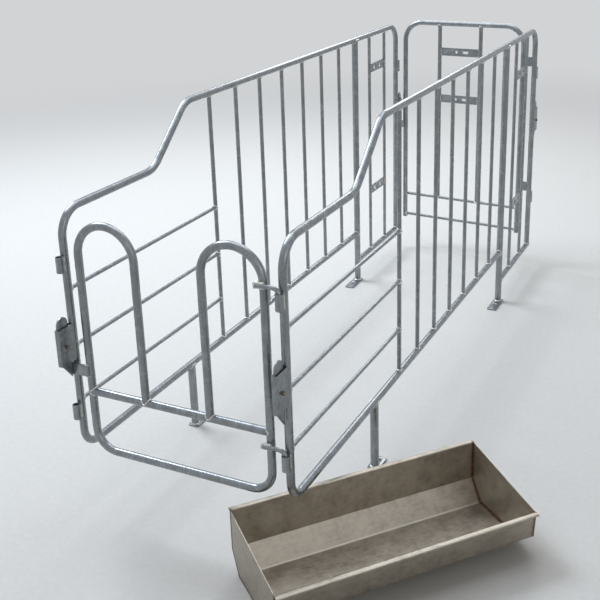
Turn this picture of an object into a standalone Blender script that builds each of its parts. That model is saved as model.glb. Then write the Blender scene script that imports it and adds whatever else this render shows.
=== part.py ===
"""Farrowing and breeding crate for one sow, with two gates and a loose feed trough.

Lengths are in metres. X runs to the right as seen from the front, Y to the rear and Z up. The
crate is drawn round the middle between its two side panels. At the end everything is shifted so
that the origin lies on the floor in the middle of the whole set, trough included.
"""

import math

import bpy
import bmesh
from mathutils import Vector

for old in list(bpy.data.objects):
    bpy.data.objects.remove(old, do_unlink=True)

# Gap kept between pieces that touch each other.
GAP = 0.0003

# Bent steel tube of the frames, the legs and the thinner bars between them.
TUBE_R = 0.01065
LEG_R = 0.0125
BAR_R = 0.0065
RAIL_R = 0.0055
BEND_R = 0.070
BASE_BEND_R = 0.052
SLOPE_BEND_R = 0.090

# Side panel: where its posts stand and how high its rails run.
CLEAR_WIDTH = 0.600
PANEL_X = CLEAR_WIDTH / 2 + TUBE_R
FRONT_Y = -1.155
REAR_Y = 1.155
TOP_Z = 1.042
HEAD_DROP = 0.160
HEAD_Z = TOP_Z - HEAD_DROP
SLOPE_FRONT_Y = -0.745
SLOPE_REAR_Y = -0.560
BASE_Z = 0.216
TAIL_Z = 0.093
HEAD_RAIL_RISE = 0.144
HEAD_RAIL_STEP = 0.157
HEAD_RAIL_COUNT = 3

# Upright bars, counted from the front one. The leg stands one step behind the last of them.
BAR_Y0 = -0.427
BAR_STEP = 0.161
BAR_COUNT = 7
LEG_Y = BAR_Y0 + BAR_COUNT * BAR_STEP
TAIL_BAR_BACK = (0.305, 0.139)
TAIL_BAR_Y = (REAR_Y - TAIL_BAR_BACK[0], REAR_Y - TAIL_BAR_BACK[1])

# Feet: a short leg under the head end, and the long leg, each on a drilled plate.
FRONT_LEG_Y = -0.627
FOOT_W = 0.036
FOOT_T = 0.006
FOOT_HOLE_R = 0.0065
FOOT_HEEL = 0.016
FRONT_FOOT_TOE = 0.052
FRONT_FOOT_HOLE = 0.033
REAR_FOOT_TOE = -0.097
REAR_FOOT_HOLE = -0.052

# Plates for a cross bar behind the sow, between the two rearmost bars.
STOP_T = 0.005
STOP_H = 0.036
STOP_Z = (0.3675, TOP_Z - 0.142)
STOP_HOLE_R = 0.009
STOP_HOLE_STEP = 0.060

# Hinge eyes: short tubes welded on the outside of each post, two at the front and two behind.
EYE_R = TUBE_R
EYE_BORE_R = 0.008
EYE_WELD = 0.001
EYE_OUT = TUBE_R + EYE_R - EYE_WELD
HOOK_R = 0.0055
GATE_OUT = EYE_OUT - HOOK_R - GAP - TUBE_R
FRONT_EYE_H = 0.042
FRONT_EYE_Z = (0.333, HEAD_Z - 0.134)
REAR_EYE_H = 0.050
REAR_EYE_Z = (0.312, TOP_Z - 0.183)

# Drop latch on each post: a folded housing, a plate that slides up in it, and a bolt.
LATCH_OUT = 0.0375
LATCH_Z = (0.530, 0.652)
SHEET_T = 0.002
HOUSING_HALF = 0.0073
HOUSING_NOSE = 0.0258
HOUSING_NOSE_R = 0.0035
HOUSING_BACK = LATCH_OUT - math.sqrt((TUBE_R + GAP) ** 2 - (HOUSING_HALF - SHEET_T) ** 2)
HOUSING_TOP = 0.053
HOUSING_BOTTOM = -0.048
LATCH_T = 0.005
LATCH_FRONT = -0.0225
LATCH_TIP_Z = -0.092
LATCH_TAB_Z = 0.082
LATCH_LIFT = 0.042
BOLT_R = 0.003
BOLT_HEAD_R = 0.0058
BOLT_HEAD_H = 0.004
STRIKER_T = 0.005
STRIKER_OUT = GATE_OUT + TUBE_R + GAP + STRIKER_T
LATCH_BACK = LATCH_OUT - STRIKER_OUT - GAP
STRIKER_H = 0.032
STRIKER_END = PANEL_X + 0.0055

# Front gate: one tube bent into two hoops over a wide loop.
GATE_X = CLEAR_WIDTH / 2 - 0.037
HOOP_R = 0.084
HOOP_TOP = HEAD_Z - 0.021
CROSS_Z = 0.397
GATE_BASE_Z = 0.228
GATE_BEND_R = 0.060
HOOK_BEND_R = 0.018
HOOK_TAIL = 0.016
PIN_SHORT = 0.005

# Rear gate: an arched tube, two low rails, and a ladder of two bars and two drilled plates.
TAIL_GATE_X = CLEAR_WIDTH / 2 - 0.027
TAIL_GATE_SHIFT = 0.011
TAIL_GATE_TOP = TOP_Z + 0.008
TAIL_GATE_LEG = 0.142
TAIL_GATE_BEND_R = 0.080
TAIL_GATE_RAIL_Z = (0.156, 0.256)
LADDER_R = 0.0085
LADDER_X = 0.0945
LADDER_SHIFT = 0.013
LADDER_T = 0.005
LADDER_H = 0.035
LADDER_Z = (TAIL_GATE_TOP - 0.330, TAIL_GATE_TOP - 0.122)
LADDER_HOLE_R = 0.006
LADDER_HOLE_X = -0.016
LADDER_SLOT_R = 0.005
LADDER_SLOT_X = (0.018, 0.034)
STRAP_T = 0.005
STRAP_H = 0.040
STRAP_TAIL = 0.012
STRAP_END = 0.007
REAR_PIN_R = 0.006
REAR_PIN_DROP = 0.012
AJAR = math.radians(5.0)

# Feed trough: one folded sheet with two end plates, standing on the floor by the gate. Its back
# wall is the higher one, and the floor slopes up to the front wall.
TROUGH_LENGTH = 0.713
TROUGH_WIDTH = 0.311
TROUGH_BACK_H = 0.170
TROUGH_FRONT_H = 0.122
TROUGH_LIP = 0.013
TROUGH_SHEET = 0.002
TROUGH_BACK_FOLD_Z = 0.058
TROUGH_FLOOR_X = (0.056, 0.160)
TROUGH_FRONT_FOLD_Z = 0.045
TROUGH_LEAN = 0.007
TROUGH_AT = (0.493, -1.010)
TROUGH_TURN = math.radians(50.1)


def material(name, colour, roughness, metallic):
    mat = bpy.data.materials.new(name)
    mat.use_nodes = True
    shader = mat.node_tree.nodes["Principled BSDF"]
    shader.inputs["Base Color"].default_value = (*colour, 1.0)
    shader.inputs["Roughness"].default_value = roughness
    shader.inputs["Metallic"].default_value = metallic
    mat.diffuse_color = (*colour, 1.0)
    return mat


GALVANISED = material("galvanised_tube", (0.56, 0.58, 0.58), 0.42, 0.9)
ZINC = material("zinc_sheet", (0.48, 0.49, 0.50), 0.45, 0.9)
BOLT = material("bolt_steel", (0.40, 0.34, 0.27), 0.5, 0.8)
STAINLESS = material("stainless_sheet", (0.46, 0.43, 0.40), 0.38, 0.95)


def place(name, mesh, mat=None, parent=None, at=(0, 0, 0), turn=0.0):
    """Add an object that shows the mesh, in the parent's frame."""
    obj = bpy.data.objects.new(name, mesh)
    bpy.context.scene.collection.objects.link(obj)
    if mat and not mesh.materials:
        mesh.materials.append(mat)
    obj.parent = parent
    obj.location = at
    obj.rotation_euler = (0, 0, turn)
    return obj


def anchor(name, at, turn=0.0):
    """Add an empty that carries the pieces of one assembly."""
    obj = place(name, None, None, None, at, turn)
    obj.empty_display_size = 0.05
    return obj


def cut(obj, tool_mesh, operation="DIFFERENCE"):
    """Cut a shape out of an object, or weld one onto it. The tool rides on the object."""
    tool = place(obj.name + "." + operation.lower(), tool_mesh, None, obj)
    tool.hide_render = True
    tool.display_type = "WIRE"
    step = obj.modifiers.new(operation.title(), "BOOLEAN")
    step.operation = operation
    step.solver = "EXACT"
    step.object = tool
    return tool


def finish(name, bm, smooth=True):
    """Turn an edit mesh into a mesh with outward faces and smooth round sides."""
    bmesh.ops.recalc_face_normals(bm, faces=bm.faces)
    mesh = bpy.data.meshes.new(name)
    bm.to_mesh(mesh)
    bm.free()
    if smooth:
        mesh.shade_smooth()
        mesh.set_sharp_from_angle(angle=math.radians(35))
    return mesh


def bent_path(corners, bends, step=math.radians(14)):
    """Centre line of a bent tube: its corners rounded by the bend radii.

    Returns positions with the direction that the tube runs in there.
    """
    corners = [Vector(c) for c in corners]
    path = [(corners[0], (corners[1] - corners[0]).normalized())]
    for i, bend in enumerate(bends, start=1):
        before = (corners[i] - corners[i - 1]).normalized()
        after = (corners[i + 1] - corners[i]).normalized()
        angle = before.angle(after)
        start = corners[i] - before * bend * math.tan(angle / 2)
        inward = (after - before * before.dot(after)).normalized()
        steps = max(2, math.ceil(angle / step))
        for k in range(steps + 1):
            a = angle * k / steps
            point = start + before * bend * math.sin(a) + inward * bend * (1 - math.cos(a))
            if (point - path[-1][0]).length > GAP:
                path.append((point, before * math.cos(a) + inward * math.sin(a)))
    path.append((corners[-1], (corners[-1] - corners[-2]).normalized()))
    return path


def tube(name, path, radius, normal, sides=12, start_on=None, end_on=None):
    """Sweep a round bar along a path that lies in the plane with this normal.

    An end that meets another tube is saddled round it: start_on and end_on give that tube's
    radius, and the path's end then lies on its axis.
    """
    normal = Vector(normal)
    bm = bmesh.new()

    def saddle(across, other):
        reach = (other + GAP) ** 2 - across ** 2
        return math.sqrt(reach) if reach > 0 else 0.0

    def ring(point, along, size, other):
        side = along.cross(normal)
        verts = []
        for k in range(sides):
            a = 2 * math.pi * k / sides
            across = size * math.cos(a)
            shift = saddle(across, abs(other)) * (1 if other > 0 else -1) if other else 0.0
            verts.append(bm.verts.new(
                point + normal * across + side * size * math.sin(a) + along * shift))
        return verts

    def join(a, b):
        for k in range(sides):
            bm.faces.new((a[k], a[(k + 1) % sides], b[(k + 1) % sides], b[k]))

    def close(point, along, other, rim):
        """Close an end with rings that follow the saddle, or with one flat face."""
        if not other:
            bm.faces.new(rim)
            return
        reach = abs(other) + GAP
        widest = math.asin(min(1.0, radius / reach))
        count = math.ceil(widest / math.radians(20))
        for k in range(count - (radius <= reach), 0, -1):
            inner = ring(point, along, reach * math.sin(widest * k / count), other)
            join(rim, inner)
            rim = inner
        tip = point + along * saddle(0.0, abs(other)) * (1 if other > 0 else -1)
        centre = bm.verts.new(tip)
        for k in range(sides):
            bm.faces.new((rim[k], rim[(k + 1) % sides], centre))

    starts = start_on or 0.0
    ends = -(end_on or 0.0)
    rings = []
    for i, (point, along) in enumerate(path):
        other = starts if i == 0 else ends if i == len(path) - 1 else 0.0
        rings.append(ring(point, along, radius, other))
    for a, b in zip(rings, rings[1:]):
        join(a, b)
    close(*path[0], starts, rings[0])
    close(*path[-1], ends, rings[-1])
    return finish(name, bm)


def bar(name, start, end, radius, normal, sides=12, start_on=None, end_on=None):
    """A straight round bar."""
    return tube(name, bent_path((start, end), ()), radius, normal, sides, start_on, end_on)


def prism(name, outline, axis, low, high, smooth=False):
    """Push a closed outline along an axis. Its pairs fill the two other axes, in X, Y, Z order."""
    bm = bmesh.new()

    def corner(pair, level):
        values = list(pair)
        values.insert(axis, level)
        return bm.verts.new(values)

    face = bm.faces.new([corner(pair, low) for pair in outline])
    made = bmesh.ops.extrude_face_region(bm, geom=[face])
    shift = Vector((0, 0, 0))
    shift[axis] = high - low
    moved = [v for v in made["geom"] if isinstance(v, bmesh.types.BMVert)]
    bmesh.ops.translate(bm, vec=shift, verts=moved)
    return finish(name, bm, smooth)


def arc(centre, radius, first, last, steps):
    """Points on an arc, from the first angle to the last, in degrees."""
    points = []
    for k in range(steps + 1):
        a = math.radians(first + (last - first) * k / steps)
        points.append((centre[0] + radius * math.cos(a), centre[1] + radius * math.sin(a)))
    return points


def rectangle(x0, x1, y0, y1):
    return [(x0, y0), (x1, y0), (x1, y1), (x0, y1)]


def join_meshes(name, meshes):
    """Put meshes into one, as separate bodies. Only used for the tools of a Boolean."""
    bm = bmesh.new()
    for mesh in meshes:
        bm.from_mesh(mesh)
        bpy.data.meshes.remove(mesh)
    return finish(name, bm)


def pegs(name, spots, radius, axis, low, high, sides=16):
    """Round pegs along one axis, at the given spots in the two other axes."""
    return join_meshes(name, [
        prism(name, arc(spot, radius, 0, 360 - 360 / sides, sides - 1), axis, low, high)
        for spot in spots])


# Side panels. Everything lies in one upright plane, so each mesh is made once, in the plane
# x = 0 of its panel, and used on both sides.

ACROSS = (1, 0, 0)

panel_corners = (
    (0, LEG_Y, BASE_Z),
    (0, FRONT_Y, BASE_Z),
    (0, FRONT_Y, HEAD_Z),
    (0, SLOPE_FRONT_Y, HEAD_Z),
    (0, SLOPE_REAR_Y, TOP_Z),
    (0, REAR_Y, TOP_Z),
    (0, REAR_Y, TAIL_Z),
)
panel_bends = (BASE_BEND_R, BEND_R, SLOPE_BEND_R, SLOPE_BEND_R, BEND_R)
panel_mesh = tube("panel_frame", bent_path(panel_corners, panel_bends), TUBE_R, ACROSS, 16,
                  start_on=LEG_R, end_on=TUBE_R)


def eye(y, z, height):
    """A short tube, made as a ring profile pushed along Z."""
    bm = bmesh.new()
    rings = []
    for radius in (EYE_R, EYE_BORE_R):
        for level in (z - height / 2, z + height / 2):
            rings.append([bm.verts.new((px, py, level))
                          for px, py in arc((0, y), radius, 0, 337.5, 15)])
    low_out, high_out, low_in, high_in = rings
    for a, b in ((low_out, high_out), (high_out, high_in), (high_in, low_in), (low_in, low_out)):
        for k in range(16):
            bm.faces.new((a[k], a[(k + 1) % 16], b[(k + 1) % 16], b[k]))
    return finish("eye", bm)


eye_mesh = join_meshes("eyes", [
    *(eye(FRONT_Y - EYE_OUT, z, FRONT_EYE_H) for z in FRONT_EYE_Z),
    *(eye(REAR_Y + EYE_OUT, z, REAR_EYE_H) for z in REAR_EYE_Z),
])

bar_meshes = [
    bar("bar", (0, BAR_Y0 + i * BAR_STEP, BASE_Z), (0, BAR_Y0 + i * BAR_STEP, TOP_Z), BAR_R,
        ACROSS, start_on=TUBE_R, end_on=TUBE_R)
    for i in range(BAR_COUNT)]
tail_bar_meshes = [
    bar("tail_bar", (0, y, TAIL_Z), (0, y, TOP_Z), BAR_R, ACROSS, start_on=TUBE_R,
        end_on=TUBE_R)
    for y in TAIL_BAR_Y]
head_rail_meshes = []
for i in range(HEAD_RAIL_COUNT):
    z = BASE_Z + HEAD_RAIL_RISE + i * HEAD_RAIL_STEP
    head_rail_meshes.append(bar("head_rail", (0, FRONT_Y, z), (0, BAR_Y0, z), RAIL_R, ACROSS,
                                start_on=TUBE_R, end_on=BAR_R))
tail_rail_mesh = bar("tail_rail", (0, LEG_Y, TAIL_Z), (0, REAR_Y + TUBE_R, TAIL_Z), TUBE_R,
                     ACROSS, 16, start_on=LEG_R)


def leg(name, y, top, toe, hole):
    """A leg with its foot plate. The plate runs from the heel, past the leg, to the toe."""
    post = bar(name, (0, y, FOOT_T / 2), (0, y, top), LEG_R, ACROSS, 20, end_on=TUBE_R)
    heel = -FOOT_HEEL if toe > 0 else FOOT_HEEL
    near, far = sorted((y + heel, y + toe))
    plate = prism(name, rectangle(-FOOT_W / 2, FOOT_W / 2, near, far), 2, 0, FOOT_T)
    drill = pegs(name, [(0, y + hole)], FOOT_HOLE_R, 2, -FOOT_T, 2 * FOOT_T)
    return post, plate, drill


front_leg_meshes = leg("front_leg", FRONT_LEG_Y, BASE_Z, FRONT_FOOT_TOE, FRONT_FOOT_HOLE)
rear_leg_meshes = leg("rear_leg", LEG_Y, TOP_Z, REAR_FOOT_TOE, REAR_FOOT_HOLE)

stop_middle = sum(TAIL_BAR_Y) / 2
stop_meshes = [
    prism("stop_plate", rectangle(TAIL_BAR_Y[0] + BAR_R + GAP, TAIL_BAR_Y[1] - BAR_R - GAP,
                                  z - STOP_H / 2, z + STOP_H / 2), 0, -STOP_T / 2, STOP_T / 2)
    for z in STOP_Z]
stop_drills = [
    pegs("stop_hole", [(stop_middle + s * STOP_HOLE_STEP / 2, z) for s in (-1, 1)], STOP_HOLE_R,
         0, -STOP_T, STOP_T)
    for z in STOP_Z]


# Drop latch, in a frame on its bolt: the post stands at y = LATCH_OUT and the nose looks to -Y.

def housing():
    """A sheet folded into a narrow channel that opens onto the post, with a rounded nose."""
    half = HOUSING_HALF
    nose = HOUSING_NOSE_R
    outer = [(half, HOUSING_BACK), (half, -HOUSING_NOSE + nose)]
    outer += arc((half - nose, -HOUSING_NOSE + nose), nose, 0, -90, 4)[1:]
    outer += [(-x, y) for x, y in reversed(outer)]
    half -= SHEET_T
    nose -= SHEET_T
    inner = [(half, HOUSING_BACK), (half, -HOUSING_NOSE + SHEET_T + nose)]
    inner += arc((half - nose, -HOUSING_NOSE + SHEET_T + nose), nose, 0, -90, 4)[1:]
    inner += [(-x, y) for x, y in reversed(inner)]
    return prism("latch_housing", outer + inner[::-1], 2, HOUSING_BOTTOM, HOUSING_TOP, True)


def latch_plate():
    """A flat plate with a round tab above, a tapered tip below and a slot for the bolt."""
    half = (LATCH_BACK - LATCH_FRONT) / 2
    middle = (LATCH_BACK + LATCH_FRONT) / 2
    outline = [(LATCH_BACK - 0.002, LATCH_TIP_Z), (LATCH_BACK, LATCH_TIP_Z + 0.003)]
    outline += arc((middle, LATCH_TAB_Z - half), half, 0, 180, 10)
    outline += [(LATCH_FRONT, HOUSING_BOTTOM + 0.010), (LATCH_FRONT + 0.003, HOUSING_BOTTOM)]
    return prism("latch_plate", outline, 0, -LATCH_T / 2, LATCH_T / 2)


def latch_slot():
    """The slot hangs on the bolt and lets the plate rise by its lift."""
    radius = BOLT_R + GAP
    outline = arc((0, 0), radius, 0, 180, 6) + arc((0, -LATCH_LIFT), radius, 180, 360, 6)
    return prism("latch_slot", outline, 0, -LATCH_T, LATCH_T)


def latch_bolt():
    """A bolt through both walls of the housing, and its hexagon head and nut outside them."""
    wall = HOUSING_HALF + GAP
    shank = prism("latch_bolt", arc((0, 0), BOLT_R, 0, 330, 11), 0, -wall - BOLT_HEAD_H / 2,
                  wall + BOLT_HEAD_H / 2)
    ends = join_meshes("bolt_ends", [
        prism("bolt_end", arc((0, 0), BOLT_HEAD_R, 0, 300, 5), 0, min(near, far),
              max(near, far))
        for near, far in ((wall, wall + BOLT_HEAD_H), (-wall, -wall - BOLT_HEAD_H))])
    return shank, ends


housing_mesh = housing()
housing_drill = pegs("bolt_hole", [(0, 0)], BOLT_R + GAP, 0, -0.02, 0.02, 12)
plate_mesh = latch_plate()
slot_mesh = latch_slot()
bolt_mesh, bolt_ends_mesh = latch_bolt()


def build_panel(side, x):
    """One side panel with its four eyes, its feet, its stop plates and its two latches."""
    panel = anchor(side + "_panel", (x, 0, 0))
    frame = place(side + "_panel_frame", panel_mesh, GALVANISED, panel)
    cut(frame, eye_mesh, "UNION")
    for i, mesh in enumerate(bar_meshes, start=1):
        place(f"{side}_bar_{i}", mesh, GALVANISED, panel)
    for i, mesh in enumerate(tail_bar_meshes, start=1):
        place(f"{side}_tail_bar_{i}", mesh, GALVANISED, panel)
    for i, mesh in enumerate(head_rail_meshes, start=1):
        place(f"{side}_head_rail_{i}", mesh, GALVANISED, panel)
    place(side + "_tail_rail", tail_rail_mesh, GALVANISED, panel)
    for end, (post, plate, drill) in (("front", front_leg_meshes), ("rear", rear_leg_meshes)):
        foot = place(f"{side}_{end}_leg", post, GALVANISED, panel)
        cut(foot, plate, "UNION")
        cut(foot, drill)
    for level, mesh, drill in zip(("lower", "upper"), stop_meshes, stop_drills):
        cut(place(f"{side}_{level}_stop_plate", mesh, GALVANISED, panel), drill)
    head_turn = 0.0 if x > 0 else math.pi
    for end, y, z, turn in (("front", FRONT_Y - LATCH_OUT, LATCH_Z[0], 0.0),
                            ("rear", REAR_Y + LATCH_OUT, LATCH_Z[1], math.pi)):
        case = place(f"{side}_{end}_latch_housing", housing_mesh, ZINC, panel, (0, y, z), turn)
        cut(case, housing_drill)
        slider = place(f"{side}_{end}_latch_plate", plate_mesh, ZINC, panel, (0, y, z), turn)
        cut(slider, slot_mesh)
        bolt = place(f"{side}_{end}_latch_bolt", bolt_mesh, BOLT, panel, (0, y, z), head_turn)
        cut(bolt, bolt_ends_mesh, "UNION")


build_panel("left", -PANEL_X)
build_panel("right", PANEL_X)


# Front gate, drawn in its own plane with x = 0 in the middle of the crate, and carried by an
# empty on the axis of its two pins.

ALONG = (0, 1, 0)

front_axis = (PANEL_X, FRONT_Y - EYE_OUT, 0)
front_gate = anchor("front_gate_hinge", front_axis)
front_gate_at = (-PANEL_X, EYE_OUT - GATE_OUT, 0)

inner_x = GATE_X - 2 * HOOP_R
gate_corners = (
    (-inner_x, 0, CROSS_Z),
    (-inner_x, 0, HOOP_TOP),
    (-GATE_X, 0, HOOP_TOP),
    (-GATE_X, 0, GATE_BASE_Z),
    (GATE_X, 0, GATE_BASE_Z),
    (GATE_X, 0, HOOP_TOP),
    (inner_x, 0, HOOP_TOP),
    (inner_x, 0, CROSS_Z),
)
gate_bends = (HOOP_R, HOOP_R, GATE_BEND_R, GATE_BEND_R, HOOP_R, HOOP_R)
gate_mesh = tube("front_gate_frame", bent_path(gate_corners, gate_bends), TUBE_R, ALONG, 16,
                 start_on=TUBE_R, end_on=TUBE_R)
place("front_gate_frame", gate_mesh, GALVANISED, front_gate, front_gate_at)
cross_mesh = bar("front_gate_cross_bar", (-GATE_X, 0, CROSS_Z), (GATE_X, 0, CROSS_Z), TUBE_R,
                 ALONG, 16, start_on=TUBE_R, end_on=TUBE_R)
place("front_gate_cross_bar", cross_mesh, GALVANISED, front_gate, front_gate_at)

# The inside of a hook's bend rests on the rim of its eye.
hook_rise = HOOK_BEND_R - math.sqrt((HOOK_BEND_R - HOOK_R - GAP) ** 2
                                    - (HOOK_BEND_R - EYE_BORE_R) ** 2)
for level, eye_z in zip(("lower", "upper"), FRONT_EYE_Z):
    eye_top = eye_z + FRONT_EYE_H / 2
    rod_z = eye_top + hook_rise
    hook_corners = (
        (GATE_X - PANEL_X - HOOK_TAIL, 0, rod_z),
        (0, 0, rod_z),
        (0, 0, eye_top - FRONT_EYE_H + PIN_SHORT),
    )
    hook_mesh = tube("hook", bent_path(hook_corners, (HOOK_BEND_R,)), HOOK_R, ALONG)
    place(f"front_gate_{level}_hook", hook_mesh, GALVANISED, front_gate)


def striker(name, end_x, low_x, y, z):
    """A flat strap on the gate's free tube, which the latch plate drops in front of."""
    outline = rectangle(end_x, low_x, z - STRIKER_H / 2, z + STRIKER_H / 2)
    return prism(name, outline, 1, y - STRIKER_T / 2, y + STRIKER_T / 2)


striker_drop = (LATCH_TIP_Z + HOUSING_BOTTOM) / 2
front_striker_mesh = striker("front_gate_striker", -STRIKER_END, -GATE_X + TUBE_R / 2,
                             GATE_OUT + STRIKER_T / 2 - STRIKER_OUT, LATCH_Z[0] + striker_drop)
place("front_gate_striker", front_striker_mesh, GALVANISED, front_gate, front_gate_at)


# Rear gate, drawn the same way and standing a little ajar.

rear_axis = (PANEL_X, REAR_Y + EYE_OUT, 0)
rear_gate = anchor("rear_gate_hinge", rear_axis, -AJAR)
rear_gate_at = (-PANEL_X - TAIL_GATE_SHIFT, GATE_OUT - EYE_OUT, 0)

tail_gate_corners = (
    (-TAIL_GATE_X, 0, TAIL_GATE_LEG),
    (-TAIL_GATE_X, 0, TAIL_GATE_TOP),
    (TAIL_GATE_X, 0, TAIL_GATE_TOP),
    (TAIL_GATE_X, 0, TAIL_GATE_LEG),
)
tail_gate_mesh = tube("rear_gate_frame",
                      bent_path(tail_gate_corners, (TAIL_GATE_BEND_R, TAIL_GATE_BEND_R)),
                      TUBE_R, ALONG, 16)
rail_mesh = bar("rear_gate_low_rail", (-TAIL_GATE_X, 0, TAIL_GATE_RAIL_Z[0]),
                (TAIL_GATE_X, 0, TAIL_GATE_RAIL_Z[0]), BAR_R, ALONG)
tail_frame = place("rear_gate_frame", tail_gate_mesh, GALVANISED, rear_gate, rear_gate_at)
cut(tail_frame, rail_mesh, "UNION")
high_rail_mesh = bar("rear_gate_rail", (-TAIL_GATE_X, 0, TAIL_GATE_RAIL_Z[1]),
                     (TAIL_GATE_X, 0, TAIL_GATE_RAIL_Z[1]), BAR_R, ALONG, start_on=TUBE_R,
                     end_on=TUBE_R)
place("rear_gate_rail", high_rail_mesh, GALVANISED, rear_gate, rear_gate_at)

ladder_left, ladder_right = (
    bar("rear_gate_ladder", (x, 0, TAIL_GATE_RAIL_Z[1] + BAR_R + GAP), (x, 0, TAIL_GATE_TOP),
        LADDER_R, ALONG, end_on=TUBE_R)
    for x in (-LADDER_SHIFT - LADDER_X, -LADDER_SHIFT + LADDER_X))
rungs_mesh = join_meshes("ladder_plates", [
    prism("ladder_plate", rectangle(-LADDER_SHIFT - LADDER_X, -LADDER_SHIFT + LADDER_X,
                                    z - LADDER_H / 2, z + LADDER_H / 2), 1,
          -LADDER_T / 2, LADDER_T / 2)
    for z in LADDER_Z])
ladder = place("rear_gate_ladder", ladder_left, GALVANISED, rear_gate, rear_gate_at)
cut(ladder, rungs_mesh, "UNION")
cut(ladder, ladder_right, "UNION")
ladder_drill = join_meshes("ladder_holes", [
    pegs("round_holes", [(LADDER_HOLE_X - LADDER_SHIFT, z) for z in LADDER_Z], LADDER_HOLE_R, 1,
         -LADDER_T, LADDER_T),
    *(prism("long_hole", arc((LADDER_SLOT_X[1] - LADDER_SHIFT, z), LADDER_SLOT_R, -90, 90, 6)
            + arc((LADDER_SLOT_X[0] - LADDER_SHIFT, z), LADDER_SLOT_R, 90, 270, 6), 1,
            -LADDER_T, LADDER_T)
      for z in LADDER_Z)])
cut(ladder, ladder_drill)

# Each strap rests on its eye, with the pin welded to its outer face.
strap_in = GATE_OUT + TUBE_R + GAP - EYE_OUT
for level, eye_z in zip(("lower", "upper"), REAR_EYE_Z):
    eye_top = eye_z + REAR_EYE_H / 2
    low = eye_top + GAP
    strap_mesh = prism("hinge_strap", rectangle(TAIL_GATE_X - TAIL_GATE_SHIFT - PANEL_X - STRAP_TAIL,
                                                STRAP_END, low, low + STRAP_H), 1,
                       strap_in, strap_in + STRAP_T)
    strap = place(f"rear_gate_{level}_hinge_strap", strap_mesh, GALVANISED, rear_gate)
    pin_mesh = bar("hinge_pin", (0, 0, eye_top - REAR_EYE_H - REAR_PIN_DROP),
                   (0, 0, low + STRAP_H - STRAP_T), REAR_PIN_R, ACROSS)
    cut(strap, pin_mesh, "UNION")

rear_striker_mesh = striker("rear_gate_striker", TAIL_GATE_SHIFT - STRIKER_END,
                            -TAIL_GATE_X + TUBE_R / 2,
                            STRIKER_OUT - GATE_OUT - STRIKER_T / 2, LATCH_Z[1] + striker_drop)
place("rear_gate_striker", rear_striker_mesh, GALVANISED, rear_gate, rear_gate_at)


# Feed trough, drawn across its width in X and along its length in Y, then turned on the floor.

def trough_section(inset):
    """The folded sheet's outline across the trough, its lips left off, drawn in by the inset."""
    back = TROUGH_LIP + inset
    front = TROUGH_WIDTH - TROUGH_LIP - inset
    return [(back, TROUGH_BACK_FOLD_Z + inset * 0.5),
            (TROUGH_FLOOR_X[0] + inset * 0.5, inset),
            (TROUGH_FLOOR_X[1] - inset * 0.2, inset),
            (front - TROUGH_LEAN, TROUGH_FRONT_FOLD_Z + inset * 0.7),
            (front, TROUGH_FRONT_H)]


def trough():
    """The whole form, and the hollow to cut from it, as prisms along the trough."""
    body = trough_section(0)[:-1]
    back, front = TROUGH_LIP, TROUGH_WIDTH - TROUGH_LIP
    whole = [(back, TROUGH_BACK_H), (0, TROUGH_BACK_H), (0, TROUGH_BACK_H - TROUGH_SHEET),
             (back, TROUGH_BACK_H - TROUGH_SHEET), *body,
             (front, TROUGH_FRONT_H - TROUGH_SHEET), (TROUGH_WIDTH, TROUGH_FRONT_H - TROUGH_SHEET),
             (TROUGH_WIDTH, TROUGH_FRONT_H), (front, TROUGH_FRONT_H)]
    hollow = trough_section(TROUGH_SHEET)
    over = 2 * TROUGH_BACK_H
    hollow += [(hollow[-1][0], over), (hollow[0][0], over)]
    half = TROUGH_LENGTH / 2
    return [prism("feed_trough", [(x - TROUGH_WIDTH / 2, z) for x, z in outline], 1, -end, end)
            for outline, end in ((whole, half), (hollow, half - TROUGH_SHEET))]


trough_mesh, hollow_mesh = trough()
feed_trough = place("feed_trough", trough_mesh, STAINLESS, None, (*TROUGH_AT, 0),
                    TROUGH_TURN - math.pi / 2)
cut(feed_trough, hollow_mesh)


def centre_on_floor():
    """Shift the assemblies so that the origin lies under the middle of all their pieces."""
    graph = bpy.context.evaluated_depsgraph_get()
    points = [obj.matrix_world @ vert.co
              for obj in bpy.data.objects if obj.type == "MESH" and not obj.hide_render
              for vert in obj.evaluated_get(graph).data.vertices]
    for axis in (0, 1):
        values = [point[axis] for point in points]
        middle = (min(values) + max(values)) / 2
        for obj in bpy.data.objects:
            if obj.parent is None:
                obj.location[axis] -= middle


centre_on_floor()
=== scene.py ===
"""Looks of a breeding crate of hot-dip galvanised tube, with two gates, four drop latches and a
loose feed trough of stainless sheet. Lengths are in metres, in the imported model's own frame."""

import math

import bmesh
import bpy
import numpy as np
from mathutils import Matrix, Vector


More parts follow.
